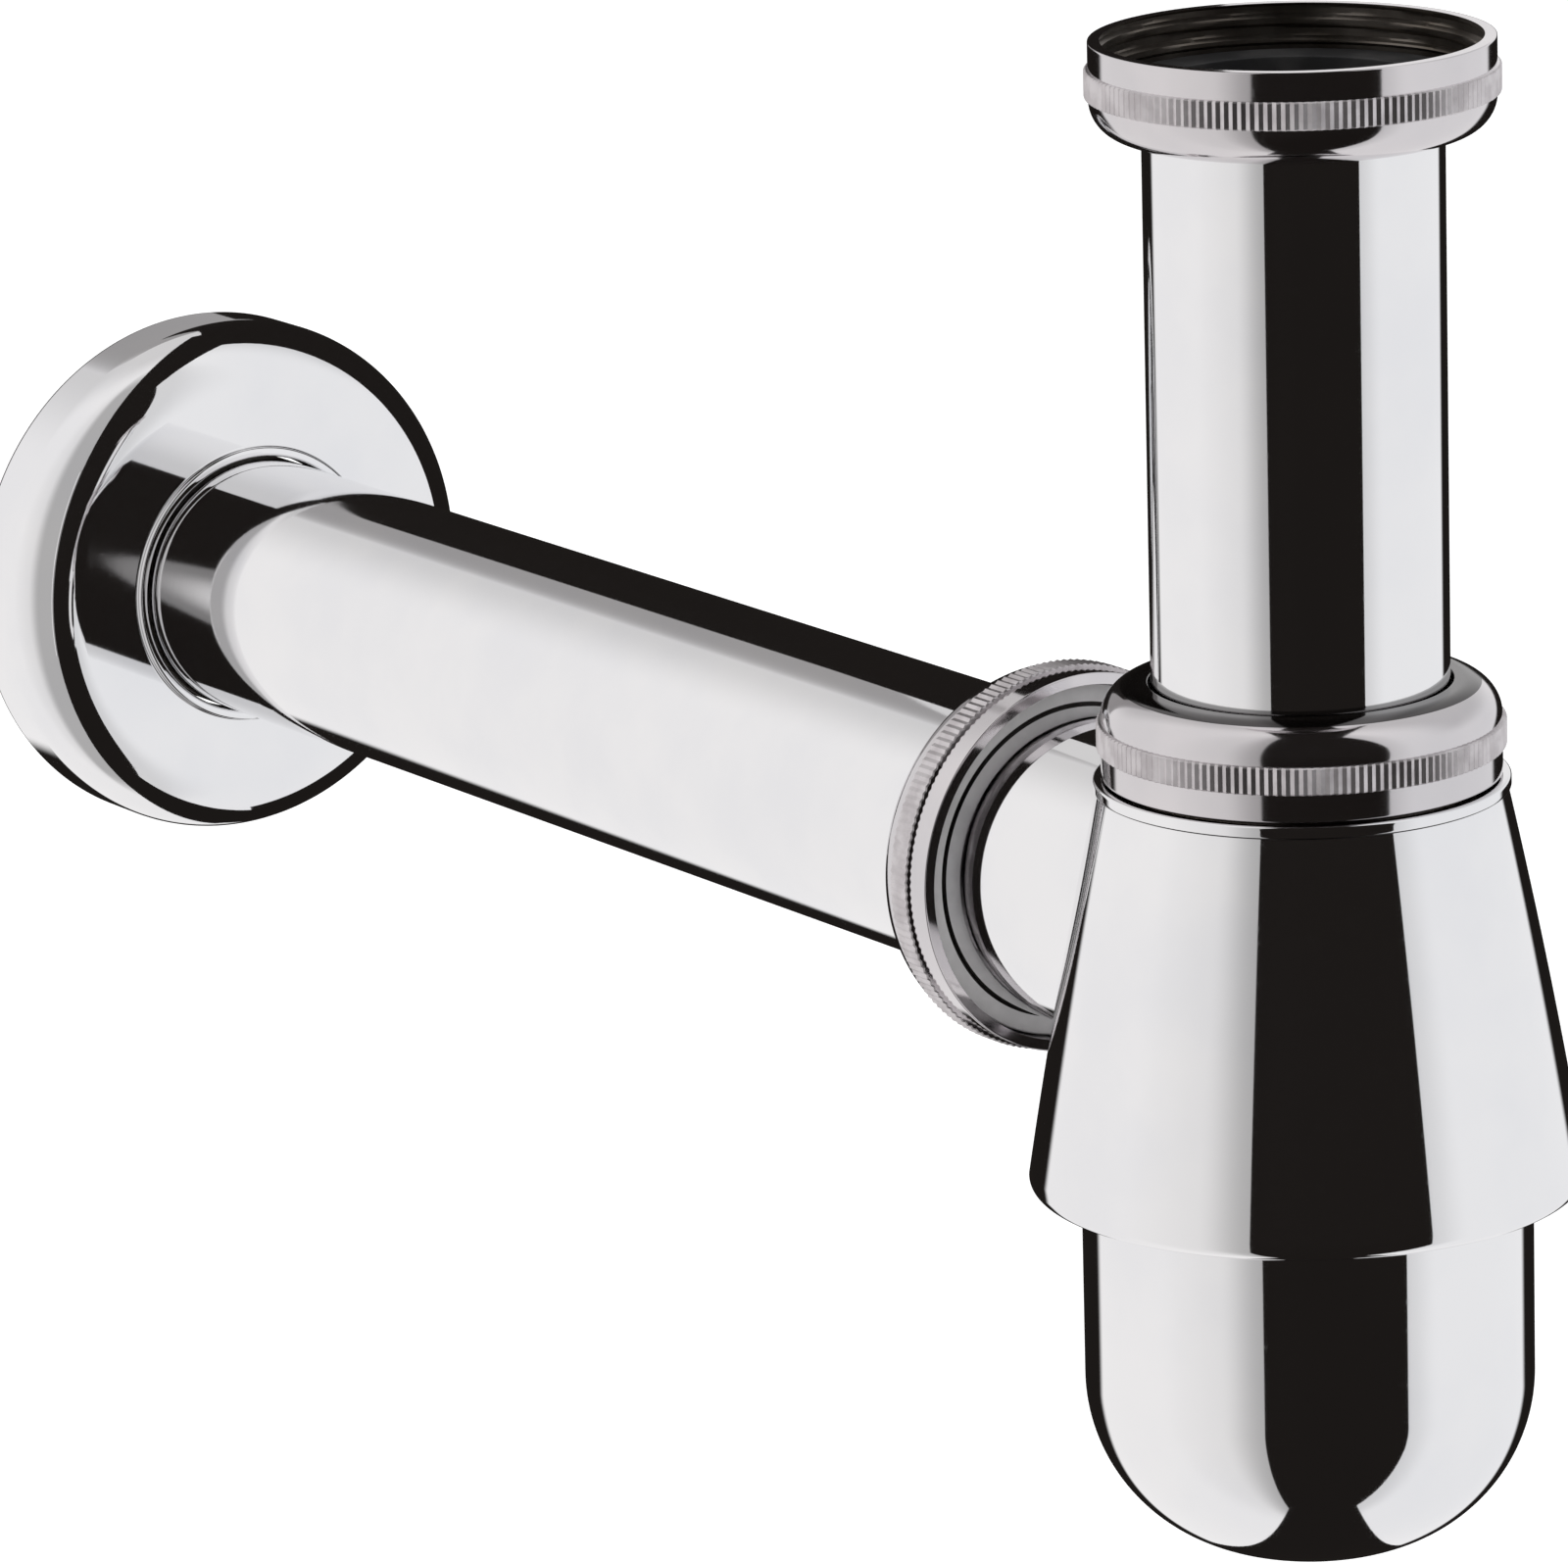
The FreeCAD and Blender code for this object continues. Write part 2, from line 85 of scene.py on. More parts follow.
def segmentsFor(radius):
    # faces to a quarter turn, for a large, a middling or a small rounding in mm
    if radius > 2:
        return 20
    return 8 if radius > 0.5 else 5


guardSizes = {"room": 0.05, "reach": 0.12, "share": 0.3}


def roundedOutline(corners):
    # corners are (across, along, rounding) in mm
    # each rounding becomes an arc, with a guard point on the straight beside it where there is room
    guard = guardSizes
    count = len(corners)
    spots = [Vector(corner[:2]) for corner in corners]
    reaches = []
    for index, corner in enumerate(corners):
        before = spots[index - 1] - spots[index]
        after = spots[(index + 1) % count] - spots[index]
        rounding = corner[2]
        reaches.append(rounding / math.tan(before.angle(after) / 2) if rounding > 0 else 0)
    points = []
    for index, corner in enumerate(corners):
        here = spots[index]
        if reaches[index] == 0:
            points.append(here)
            continue
        following = (index + 1) % count
        toBefore = spots[index - 1] - here
        toAfter = spots[following] - here
        roomBefore = toBefore.length - reaches[index] - reaches[index - 1]
        roomAfter = toAfter.length - reaches[index] - reaches[following]
        toBefore.normalize()
        toAfter.normalize()
        turn = toBefore.angle(toAfter)
        centre = here + (toBefore + toAfter).normalized() * (corner[2] / math.sin(turn / 2))
        first = here + toBefore * reaches[index] - centre
        last = here + toAfter * reaches[index] - centre
        sweep = math.pi - turn
        side = 1 if first.x * last.y - first.y * last.x > 0 else -1
        segments = max(3, round(segmentsFor(corner[2]) * sweep / (math.pi / 2)))
        if roomBefore > guard["room"]:
            lead = min(guard["reach"], roomBefore * guard["share"])
            points.append(here + toBefore * (reaches[index] + lead))
        for step in range(segments + 1):
            angle = side * sweep * step / segments
            points.append(centre + Vector((first.x * math.cos(angle) - first.y * math.sin(angle),
                                           first.x * math.sin(angle) + first.y * math.cos(angle))))
        if roomAfter > guard["room"]:
            lead = min(guard["reach"], roomAfter * guard["share"])
            points.append(here + toAfter * (reaches[index] + lead))
    return points


def spunPiece(name, corners, steps=turnSteps, outlet=False):
    # one vertex is drawn along the outline and spun about the upright axis, or about the outlet's
    outline = roundedOutline(corners)
    outline.append(outline[0])
    if outlet:
        path = [Vector((0, point.y, outletHeight + point.x)) * mm for point in outline]
    else:
        path = [Vector((point.x, 0, point.y)) * mm for point in outline]
    deselectAll()
    bpy.ops.mesh.primitive_plane_add(size=mm)
    piece = bpy.context.object
    piece.name = name
    bpy.ops.object.mode_set(mode="EDIT")
    bpy.ops.mesh.select_mode(type="VERT")
    bpy.ops.mesh.select_all(action="SELECT")
    bpy.ops.mesh.merge(type="CENTER")
    bpy.ops.transform.translate(value=path[0])
    for here, after in zip(path, path[1:]):
        bpy.ops.mesh.extrude_vertices_move(TRANSFORM_OT_translate={"value": after - here})
    bpy.ops.mesh.select_all(action="SELECT")
    centre = (0, 0, outletHeight * mm) if outlet else (0, 0, 0)
    axis = (0, 1, 0) if outlet else (0, 0, 1)
    bpy.ops.mesh.spin(steps=steps, angle=2 * math.pi, center=centre, axis=axis)
    bpy.ops.mesh.select_all(action="SELECT")
    bpy.ops.mesh.remove_doubles(threshold=weldGap * mm)
    bpy.ops.mesh.delete_loose()
    bpy.ops.mesh.select_all(action="SELECT")
    bpy.ops.mesh.normals_make_consistent(inside=False)
    bpy.ops.object.mode_set(mode="OBJECT")
    smooth(piece)
    return piece


def smooth(piece, degrees=32):
    pick(piece)
    bpy.ops.object.shade_smooth_by_angle(angle=math.radians(degrees))


def across(spot, outlet):
    return math.hypot(spot.x, spot.z - outletHeight * mm) if outlet else math.hypot(spot.x, spot.y)


def around(spot, outlet):
    return math.atan2(spot.z - outletHeight * mm, spot.x) if outlet else math.atan2(spot.y, spot.x)


threadShape = {"rows": 0.2, "slack": 0.01, "band": 0.02, "crest": 0.2, "flank": 0.5, "fade": 0.35}


def cutThread(piece, start, end, radius, depth, pitch, outlet=False):
    # a helical groove of that depth, inwards for a negative depth, which fades at both ends
    shape = threadShape
    axisHeight = outletHeight * mm
    for vertex in piece.data.vertices:
        along = (vertex.co.y if outlet else vertex.co.z) / mm
        reach = across(vertex.co, outlet) / mm
        beyond = along < start - shape["slack"] or along > end + shape["slack"]
        if beyond or abs(reach - radius) > shape["band"]:
            continue
        turns = along / pitch - around(vertex.co, outlet) / (2 * math.pi)
        wave = 0.5 - 0.5 * math.cos(2 * math.pi * turns)
        groove = min(1, max(0, (wave - shape["crest"]) / shape["flank"]))
        fade = min(1, max(0, min(along - start, end - along) / shape["fade"]))
        scale = 1 + depth * groove * fade / reach
        if outlet:
            vertex.co = (vertex.co.x * scale, vertex.co.y, axisHeight + (vertex.co.z - axisHeight) * scale)
        else:
            vertex.co = (vertex.co.x * scale, vertex.co.y * scale, vertex.co.z)


def threadRows(radius, start, end):
    count = max(2, round(abs(end - start) / threadShape["rows"]))
    return [(radius, start + (end - start) * step / count, 0) for step in range(count + 1)]


def cutAway(piece, cutter):
    pick(piece)
    cut = piece.modifiers.new("cut", "BOOLEAN")
    cut.operation = "DIFFERENCE"
    cut.solver = "EXACT"
    cut.object = cutter
    bpy.ops.object.modifier_apply(modifier=cut.name)
    bpy.data.objects.remove(cutter)


def loft(name, rings, tips=()):
    # rings of equal count, joined one to the next, and closed by a fan to each tip that is given
    count = len(rings[0])
    spots = [spot * mm for ring in rings for spot in ring]
    faces = []
    for level in range(len(rings) - 1):
        for step in range(count):
            following = (step + 1) % count
            faces.append((level * count + step, level * count + following,
                          (level + 1) * count + following, (level + 1) * count + step))
    for first, tip in zip((0, (len(rings) - 1) * count), tips):
        faces += [(first + step, first + (step + 1) % count, len(spots)) for step in range(count)]
        spots.append(Vector(tip) * mm)
    mesh = bpy.data.meshes.new(name)
    mesh.from_pydata(spots, [], faces)
    piece = bpy.data.objects.new(name, mesh)
    bpy.context.scene.collection.objects.link(piece)
    pick(piece)
    bpy.ops.object.mode_set(mode="EDIT")
    bpy.ops.mesh.select_all(action="SELECT")
    bpy.ops.mesh.normals_make_consistent(inside=False)
    bpy.ops.object.mode_set(mode="OBJECT")
    return piece


# Shader helper: a socket that can be reckoned with

class Wire:
    def __init__(self, tree, socket=None):
        self.tree = tree
        self.socket = socket

    def node(self, kind, settings=None, sockets=None):
        made = self.tree.nodes.new(kind)
        for key, value in (settings or {}).items():
            setattr(made, key, value)
        for key, value in (sockets or {}).items():
            if isinstance(value, Wire):
                self.tree.links.new(value.socket, made.inputs[key])
            else:
                made.inputs[key].default_value = value
        return [Wire(self.tree, output) for output in made.outputs]

    def maths(self, operation, other, swapped=False):
        first, second = (other, self) if swapped else (self, other)
        return self.node("ShaderNodeMath", {"operation": operation}, {0: first, 1: second})[0]

    def __add__(self, other):
        return self.maths("ADD", other)

    def __rsub__(self, other):
        return self.maths("SUBTRACT", other, True)

    def __mul__(self, other):
        return self.maths("MULTIPLY", other)

    __radd__ = __add__
    __rmul__ = __mul__

    def step(self, low, high):
        sockets = {0: self, 1: low, 2: high, 3: 0.0, 4: 1.0}
        return self.node("ShaderNodeMapRange", {"interpolation_type": "SMOOTHSTEP"}, sockets)[0]

    def towards(self, direction):
        sockets = {0: self, 1: direction}
        return self.node("ShaderNodeVectorMath", {"operation": "DOT_PRODUCT"}, sockets)[1]


def newFinish(name):
    finish = bpy.data.materials.new(name)
    finish.use_nodes = True
    finish.node_tree.nodes.clear()
    return finish, Wire(finish.node_tree)


def ownPlace(wire):
    return wire.node("ShaderNodeTexCoord")[3]  # Object coordinates


def speckle(wire, place, scale, detail):
    sockets = {"Vector": place, "Scale": scale, "Detail": detail, "Roughness": 0.5}
    return wire.node("ShaderNodeTexNoise", None, sockets)[0]


def blend(wire, factor, first, second):
    return wire.node("ShaderNodeMix", {"data_type": "RGBA"}, {0: factor, 6: first, 7: second})[2]


def closeFinish(wire, colour, roughness, bumpHeight, look, metallic):
    bump = {"Strength": look["bumpStrength"], "Distance": look["bump"], "Height": bumpHeight}
    normal = wire.node("ShaderNodeBump", None, bump)[0]
    sockets = {"Base Color": colour, "Roughness": roughness, "Metallic": metallic, "Normal": normal}
    surface = wire.node("ShaderNodeBsdfPrincipled", None, sockets)[0]
    wire.node("ShaderNodeOutputMaterial", None, {"Surface": surface})


# Finishes

chromeLook = {"pale": (0.86, 0.855, 0.86, 1), "cool": (0.82, 0.82, 0.835, 1), "roughness": 0.03}
nutLook = {"pale": (0.69, 0.66, 0.67, 1), "cool": (0.63, 0.61, 0.625, 1), "roughness": 0.075}
# painted shade: a dark chrome that stands for the dark reflection round the tube in the body nut's throat,
# and for the dark line at the flange's wall edge
paintedShadeLook = {"pale": (0.11, 0.105, 0.105, 1), "cool": (0.08, 0.076, 0.077, 1), "roughness": 0.1}
polish = {
    "along": 40, "lines": 9000, "fineDetail": 2.0, "bump": 0.00002, "bumpStrength": 0.02,
    "haze": 55.0, "hazeDetail": 4.0, "hazeFrom": 0.35, "hazeTo": 0.7, "hazeRough": 0.035, "hazeBump": 0.6,
    "dust": 900.0, "dustFrom": 0.62, "dustTo": 0.75, "dustRough": 0.03,
}


def polishedChrome(name, lineAxis, look):
    finish, wire = newFinish(name)
    place = ownPlace(wire)
    stretch = [polish["along"]] * 3
    stretch[lineAxis] = polish["lines"]  # fine turning lines round the axis
    lines = wire.node("ShaderNodeMapping", None, {"Vector": place, "Scale": stretch})[0]
    buffed = speckle(wire, lines, 1.0, polish["fineDetail"])
    haze = speckle(wire, place, polish["haze"], polish["hazeDetail"])
    dust = speckle(wire, place, polish["dust"], polish["fineDetail"])
    dust = dust.step(polish["dustFrom"], polish["dustTo"])
    colour = blend(wire, haze.step(polish["hazeFrom"], polish["hazeTo"]), look["pale"], look["cool"])
    roughness = look["roughness"] + polish["hazeRough"] * haze * haze + dust * polish["dustRough"]
    closeFinish(wire, colour, roughness, buffed + haze * polish["hazeBump"], polish, 1.0)
    return finish


gripLook = {
    "first": (0.66, 0.63, 0.64, 1), "second": (0.54, 0.51, 0.52, 1), "from": 0.35, "to": 0.65,
    "cloud": 420.0, "detail": 4.0, "grit": 2400.0, "rough": 0.32, "cloudRough": 0.12,
    "bump": 0.00003, "bumpStrength": 0.15, "metal": True,
}
innerLook = {
    "first": (0.10, 0.085, 0.07, 1), "second": (0.2, 0.18, 0.16, 1), "from": 0.3, "to": 0.7,
    "cloud": 120.0, "detail": 5.0, "grit": 1800.0, "rough": 0.28, "cloudRough": 0.2,
    "bump": 0.00005, "bumpStrength": 0.25, "metal": True,
}
# painted shade: near black for the shadowed gap inside the outlet nut and for the shade line under the ring
gapShadeLook = dict(innerLook, first=(0.016, 0.014, 0.013, 1), second=(0.045, 0.041, 0.039, 1))
faceLook = {
    "first": (0.84, 0.83, 0.83, 1), "second": (0.76, 0.75, 0.75, 1), "from": 0.35, "to": 0.65,
    "cloud": 300.0, "detail": 4.0, "grit": 2400.0, "rough": 0.45, "cloudRough": 0.15,
    "bump": 0.00003, "bumpStrength": 0.15, "metal": False,
}
rubberLook = {
    "first": (0.012, 0.012, 0.013, 1), "second": (0.035, 0.034, 0.034, 1), "from": 0.4, "to": 0.7,
    "cloud": 160.0, "detail": 5.0, "grit": 2600.0, "rough": 0.55, "cloudRough": 0.25,
    "bump": 0.00006, "bumpStrength": 0.3, "metal": False,
}
ringLook = {
    "first": (0.82, 0.82, 0.8, 1), "second": (0.72, 0.72, 0.69, 1), "from": 0.35, "to": 0.75,
    "cloud": 140.0, "detail": 4.0, "grit": 2200.0, "rough": 0.38, "cloudRough": 0.15,
    "bump": 0.00004, "bumpStrength": 0.2, "metal": False,
}


def cloudedFinish(name, look):
    # two shades in soft clouds, under a fine grit
    finish, wire = newFinish(name)
    place = ownPlace(wire)
    cloud = speckle(wire, place, look["cloud"], look["detail"])
    grit = speckle(wire, place, look["grit"], polish["fineDetail"])
    colour = blend(wire, cloud.step(look["from"], look["to"]), look["first"], look["second"])
    roughness = look["rough"] + look["cloudRough"] * cloud
    height = grit + cloud if look["metal"] else grit
    closeFinish(wire, colour, roughness, height, look, float(look["metal"]))
    return finish


chromeUpright = polishedChrome("chromeUpright", 2, chromeLook)
chromeOutlet = polishedChrome("chromeOutlet", 1, chromeLook)
nutUpright = polishedChrome("nutUpright", 2, nutLook)
nutOutlet = polishedChrome("nutOutlet", 1, nutLook)
# painted shade: the body nut's throat is coloured dark in place of the dark reflection round the tube
nutPaintedShade = polishedChrome("nutPaintedShade", 2, paintedShadeLook)
# painted shade: a dark line round the flange's edge at the wall
paintedEdgeShade = polishedChrome("shadedEdge", 1, paintedShadeLook)
gripFinish = cloudedFinish("grippedChrome", gripLook)
faceFinish = cloudedFinish("satinFace", faceLook)
boreFinish = cloudedFinish("dullBore", innerLook)
gapShadeFinish = cloudedFinish("paintedGapShade", gapShadeLook)
rubberFinish = cloudedFinish("sealRubber", rubberLook)
plasticFinish = cloudedFinish("slipPlastic", ringLook)
print("finishes made")


def dress(piece, body, node, finishes, choose=None):
    # the first finish all over, or on each face the one that the chooser numbers
    piece.data.materials.clear()
    for finish in finishes:
        piece.data.materials.append(finish)
    for face in piece.data.polygons:
        face.material_index = choose(face.center / mm, face.normal) if choose else 0
    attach(piece, body)
    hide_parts(node)
    print(node, len(piece.data.polygons), "faces")


# Nuts: a threaded mouth, a grip band of fine ribs and a rounded shoulder

nutSizes = {
    "bore": 20.2, "outside": 21.5, "grip": 21.95, "rim": 3.0, "bandEnd": 6.0, "length": 10.2,
    "shoulderRound": 4.0, "passage": 16.3, "depth": 8.3, "relief": 20.55, "threadEnd": 4.25,
    "edge": 0.15, "innerEdge": 0.1, "chamfer": 0.6, "runOut": 0.35, "throat": 19.3,
    "ribs": 150, "ribSteps": 4, "ribDepth": 0.17, "pitch": 2.309, "threadDepth": 0.62,
    "onNeck": -79.65, "onBranch": 40.1, "ribZone": 0.04, "boreTilt": 0.2, "crease": 24,
}


def makeNut():
    sizes = nutSizes
    corners = [
        (sizes["outside"], 0, sizes["edge"]),
        (sizes["outside"], sizes["rim"], 0),
        (sizes["grip"] - sizes["edge"], sizes["rim"], 0),
        (sizes["grip"], sizes["rim"] + sizes["edge"], 0),
        (sizes["grip"], sizes["bandEnd"] - sizes["edge"], 0),
        (sizes["grip"] - sizes["edge"], sizes["bandEnd"], 0),
        (sizes["outside"], sizes["bandEnd"], 0),
        (sizes["outside"], sizes["length"], sizes["shoulderRound"]),
        (sizes["passage"], sizes["length"], sizes["edge"]),
        (sizes["passage"], sizes["depth"], sizes["innerEdge"]),
        (sizes["relief"] - sizes["chamfer"], sizes["depth"], 0),
        (sizes["relief"], sizes["depth"] - sizes["chamfer"], 0),
        (sizes["relief"], sizes["threadEnd"] + sizes["runOut"], 0),
    ]
    corners += threadRows(sizes["bore"], sizes["threadEnd"], 0.0)
    steps = sizes["ribs"] * sizes["ribSteps"]
    nut = spunPiece("nutPattern", corners, steps=steps)
    slack = 0.01
    proud = sizes["outside"] + 0.1  # only the ribs stand out beyond it
    for share, phases in ((0.5, (1, 3)), (1.0, (2,))):  # the flanks of each groove, then its bottom
        clearSelection(nut)
        for vertex in nut.data.vertices:
            spot = vertex.co / mm
            step = round(math.atan2(spot.y, spot.x) / (2 * math.pi) * steps) % sizes["ribSteps"]
            onBand = sizes["rim"] - slack < spot.z < sizes["bandEnd"] + slack
            vertex.select = onBand and math.hypot(spot.x, spot.y) > proud and step in phases
        bpy.ops.object.mode_set(mode="EDIT")
        shrink = 1 - sizes["ribDepth"] * share / sizes["grip"]
        bpy.ops.transform.resize(value=(shrink, shrink, 1), center_override=(0, 0, 0))
        bpy.ops.object.mode_set(mode="OBJECT")
    cutThread(nut, 0.0, sizes["threadEnd"], sizes["bore"], sizes["threadDepth"], sizes["pitch"])
    smooth(nut, sizes["crease"])
    return nut


def nutCopy(pattern, name, placement):
    nut = pattern.copy()
    nut.data = pattern.data.copy()
    nut.name = name
    bpy.context.scene.collection.objects.link(nut)
    nut.data.transform(placement)
    return nut


def nutChooser(along, outlet=False, throat=0.0):
    # 1 for the bore behind the mouth, 2 for the ribs, 3 for painted shade on the throat round the tube,
    # 0 for the polished rest
    sizes = nutSizes
    margin = 0.1

    def choose(place, normal):
        height = place.z - outletHeight
        reach = math.hypot(place.x, height) if outlet else math.hypot(place.x, place.y)
        outward = normal.x * place.x + (normal.z * height if outlet else normal.y * place.y)
        depth = along(place)
        if reach > sizes["outside"] + sizes["ribZone"] and sizes["rim"] < depth < sizes["bandEnd"]:
            return 2
        if depth > sizes["depth"] and reach < throat:
            return 3
        facesIn = outward < -sizes["boreTilt"] * reach
        return int(facesIn and margin < depth < sizes["depth"] + margin)
    return choose


nutPattern = makeNut()
upsideDown = Matrix.Rotation(math.pi, 4, "X")
onNeck = Matrix.Translation((0, 0, nutSizes["onNeck"] * mm))
lyingDown = Matrix.Rotation(-math.pi / 2, 4, "X")
onBranch = Matrix.Translation((0, nutSizes["onBranch"] * mm, outletHeight * mm)) @ lyingDown
inletNut = nutCopy(nutPattern, "inletNut", upsideDown)
bodyNut = nutCopy(nutPattern, "bodyNut", onNeck)
outletNut = nutCopy(nutPattern, "outletNut", onBranch)
bpy.data.objects.remove(nutPattern)
nutFinishes = [nutUpright, boreFinish, gripFinish]
dress(inletNut, "inlet_nut", "inlet_union_nut", nutFinishes,
      nutChooser(lambda place: -place.z))
dress(bodyNut, "body_nut", "body_nut", nutFinishes + [nutPaintedShade],
      nutChooser(lambda place: place.z - nutSizes["onNeck"], throat=nutSizes["throat"]))
dress(outletNut, "outlet_nut", "outlet_nut", [nutOutlet, gripFinish, gripFinish],
      nutChooser(lambda place: place.y - nutSizes["onBranch"], outlet=True))


# Tubes: the inlet tube with its collar, and the outlet pipe

tubeSizes = {"outside": 16.0, "bore": 14.8, "top": -6.8, "bottom": -147.926, "collar": 19.5,
             "collarUnder": -8.3, "edge": 0.2, "outerEdge": 0.4, "collarEdge": 0.15, "boreZone": 15.1}
tube = spunPiece("inletTube", [
    (tubeSizes["bore"], tubeSizes["bottom"], tubeSizes["edge"]),
    (tubeSizes["outside"], tubeSizes["bottom"], tubeSizes["outerEdge"]),
    (tubeSizes["outside"], tubeSizes["collarUnder"], tubeSizes["collarEdge"]),
    (tubeSizes["collar"], tubeSizes["collarUnder"], tubeSizes["collarEdge"]),
    (tubeSizes["collar"], tubeSizes["top"], tubeSizes["edge"]),
    (tubeSizes["bore"], tubeSizes["top"], tubeSizes["edge"]),
])
dress(tube, "inlet_tube", "inlet_tube", [chromeUpright, boreFinish],
      lambda place, normal: int(math.hypot(place.x, place.y) < tubeSizes["boreZone"]))

pipeSizes = {"outside": 16.0, "bore": 14.8, "start": 30.9, "end": 248.9,
             "edge": 0.2, "outerEdge": 0.4, "boreZone": 15.1}
pipe = spunPiece("outletPipe", [
    (pipeSizes["bore"], pipeSizes["start"], pipeSizes["edge"]),
    (pipeSizes["outside"], pipeSizes["start"], pipeSizes["outerEdge"]),
    (pipeSizes["outside"], pipeSizes["end"], pipeSizes["outerEdge"]),
    (pipeSizes["bore"], pipeSizes["end"], pipeSizes["edge"]),
], outlet=True)
dress(pipe, "outlet_pipe", "outlet_pipe", [chromeOutlet, boreFinish],
      lambda place, normal: int(math.hypot(place.x, place.z - outletHeight) < pipeSizes["boreZone"]))


# Wall flange: a pressed cap with a rolled lip round the pipe

flangeSizes = {"outside": 32.6, "sheet": 0.9, "wall": 229.0, "face": 215.5, "round": 7.0,
               "passage": 16.3, "lip": 17.5, "lipFront": 214.8, "sleeveEnd": 218.5,
               "edge": 0.2, "wallEdge": 0.5, "lipRoot": 0.25, "lipRound": 0.4, "sleeveRoot": 0.3,
               "shaded": 0.65, "backFrom": 0.4, "backTilt": 0.4}


def makeFlange():
    sizes = flangeSizes
    back = sizes["face"] + sizes["sheet"]
    return spunPiece("wallFlange", [
        (sizes["outside"] - sizes["sheet"], sizes["wall"], sizes["edge"]),
        (sizes["outside"], sizes["wall"], sizes["wallEdge"]),
        (sizes["outside"], sizes["face"], sizes["round"]),
        (sizes["lip"], sizes["face"], sizes["lipRoot"]),
        (sizes["lip"], sizes["lipFront"], sizes["lipRound"]),
        (sizes["passage"], sizes["lipFront"], sizes["lipRound"]),
        (sizes["passage"], sizes["sleeveEnd"], sizes["edge"]),
        (sizes["passage"] + sizes["sheet"], sizes["sleeveEnd"], sizes["edge"]),
        (sizes["passage"] + sizes["sheet"], back, sizes["sleeveRoot"]),
        (sizes["outside"] - sizes["sheet"], back, sizes["round"] - sizes["sheet"]),
    ], outlet=True)


def flangeBack(place, normal):
    # 1 for the hollow back, 2 for painted shade, a dark line on the edge at the wall
    sizes = flangeSizes
    height = place.z - outletHeight
    inward = normal.x * place.x + normal.z * height < 0
    if not inward and place.y > sizes["wall"] - sizes["shaded"]:
        return 2
    return int(place.y > sizes["face"] + sizes["backFrom"] and (normal.y > sizes["backTilt"] or inward))


flange = makeFlange()
dress(flange, "wall_flange", "wall_flange", [chromeOutlet, boreFinish, paintedEdgeShade],
      flangeBack)


# Cup: a bowl of two arcs, with a threaded rim

cupSizes = {
    "outside": 24.45, "wall": 1.2, "bottom": -167.126, "crown": 33.626, "crownSteps": 14,
    "knuckleInset": 5.05, "knuckleHeight": -146.8, "knuckleSteps": 40, "guard": 0.3,
    "threadFoot": -122.0, "rim": -114.3, "thread": 23.65, "rimInner": 21.95,
    "footEdge": 0.25, "chamfer": 0.5, "rimEdge": 0.2, "innerRound": 0.3,
    "pitch": 1.5, "threadDepth": -0.5, "crease": 24,
    "floorZone": -140, "floorTilt": 0.5, "inwardFrom": -0.01,
}


def bowlPoints(shrink):
    sizes = cupSizes
    crown = sizes["crown"] - shrink
    crownCentre = (0.0, sizes["bottom"] + sizes["crown"])
    knuckleCentre = (sizes["knuckleInset"], sizes["knuckleHeight"])
    meeting = math.atan2(knuckleCentre[1] - crownCentre[1], knuckleCentre[0])
    knuckle = sizes["outside"] - sizes["knuckleInset"] - shrink
    points = arcPoints(crownCentre, crown, -math.pi / 2, meeting, sizes["crownSteps"])[:-1]
    points += arcPoints(knuckleCentre, knuckle, meeting, 0.0, sizes["knuckleSteps"])
    points[0] = (0.0, points[0][1], 0)
    return points


def makeCup():
    sizes = cupSizes
    inner = sizes["outside"] - sizes["wall"]
    threadTop = sizes["rim"] - sizes["chamfer"]
    corners = bowlPoints(0.0)
    corners.append((sizes["outside"], sizes["knuckleHeight"] + sizes["guard"], 0))
    corners.append((sizes["outside"], sizes["threadFoot"], sizes["footEdge"]))
    corners += threadRows(sizes["thread"], sizes["threadFoot"], threadTop)
    corners.append((sizes["thread"] - sizes["chamfer"], sizes["rim"], 0))
    corners.append((sizes["rimInner"], sizes["rim"], sizes["rimEdge"]))
    corners.append((sizes["rimInner"], sizes["threadFoot"], sizes["innerRound"]))
    corners.append((inner, sizes["threadFoot"] - (inner - sizes["rimInner"]), sizes["innerRound"]))
    corners += bowlPoints(sizes["wall"])[::-1]
    cup = spunPiece("cupBowl", corners)
    cutThread(cup, sizes["threadFoot"], threadTop, sizes["thread"], sizes["threadDepth"], sizes["pitch"])
    smooth(cup, sizes["crease"])
    return cup


def cupInside(place, normal):
    sizes = cupSizes
    inward = place.x * normal.x + place.y * normal.y < sizes["inwardFrom"]
    return int(inward or (normal.z > sizes["floorTilt"] and place.z < sizes["floorZone"]))


cup = makeCup()
dress(cup, "cup", "cup", [chromeUpright, boreFinish], cupInside)


# Trap body: cone, ring and neck, with the branch run into the cone by a small fillet

bodySizes = {
    "skirt": 30.1, "skirtEdge": -125.3, "skirtRound": 1.1, "skirtSteps": 12, "skirtRows": (0, 25, 28.5),
    "coneFoot": -124.2, "coneTop": -81.3, "coneTopRadius": 22.0, "coneBow": 700.0, "coneRows": 36,
    "ring": 22.4, "ringTop": -79.9, "ringEdge": 0.3, "neck": 19.95, "neckTop": -74.05, "neckRoot": 0.1,
    "branch": 17.6, "branchThread": 19.95, "threadStart": 41.9, "gapRoot": 17.9, "mouth": 45.7,
    "fillet": 1.0, "topFillet": 0.35, "chamfer": 0.5, "pitch": 2.309, "threadDepth": -0.62,
    "rowLead": 0.4, "grooveLead": 0.8, "crease": 28,
}


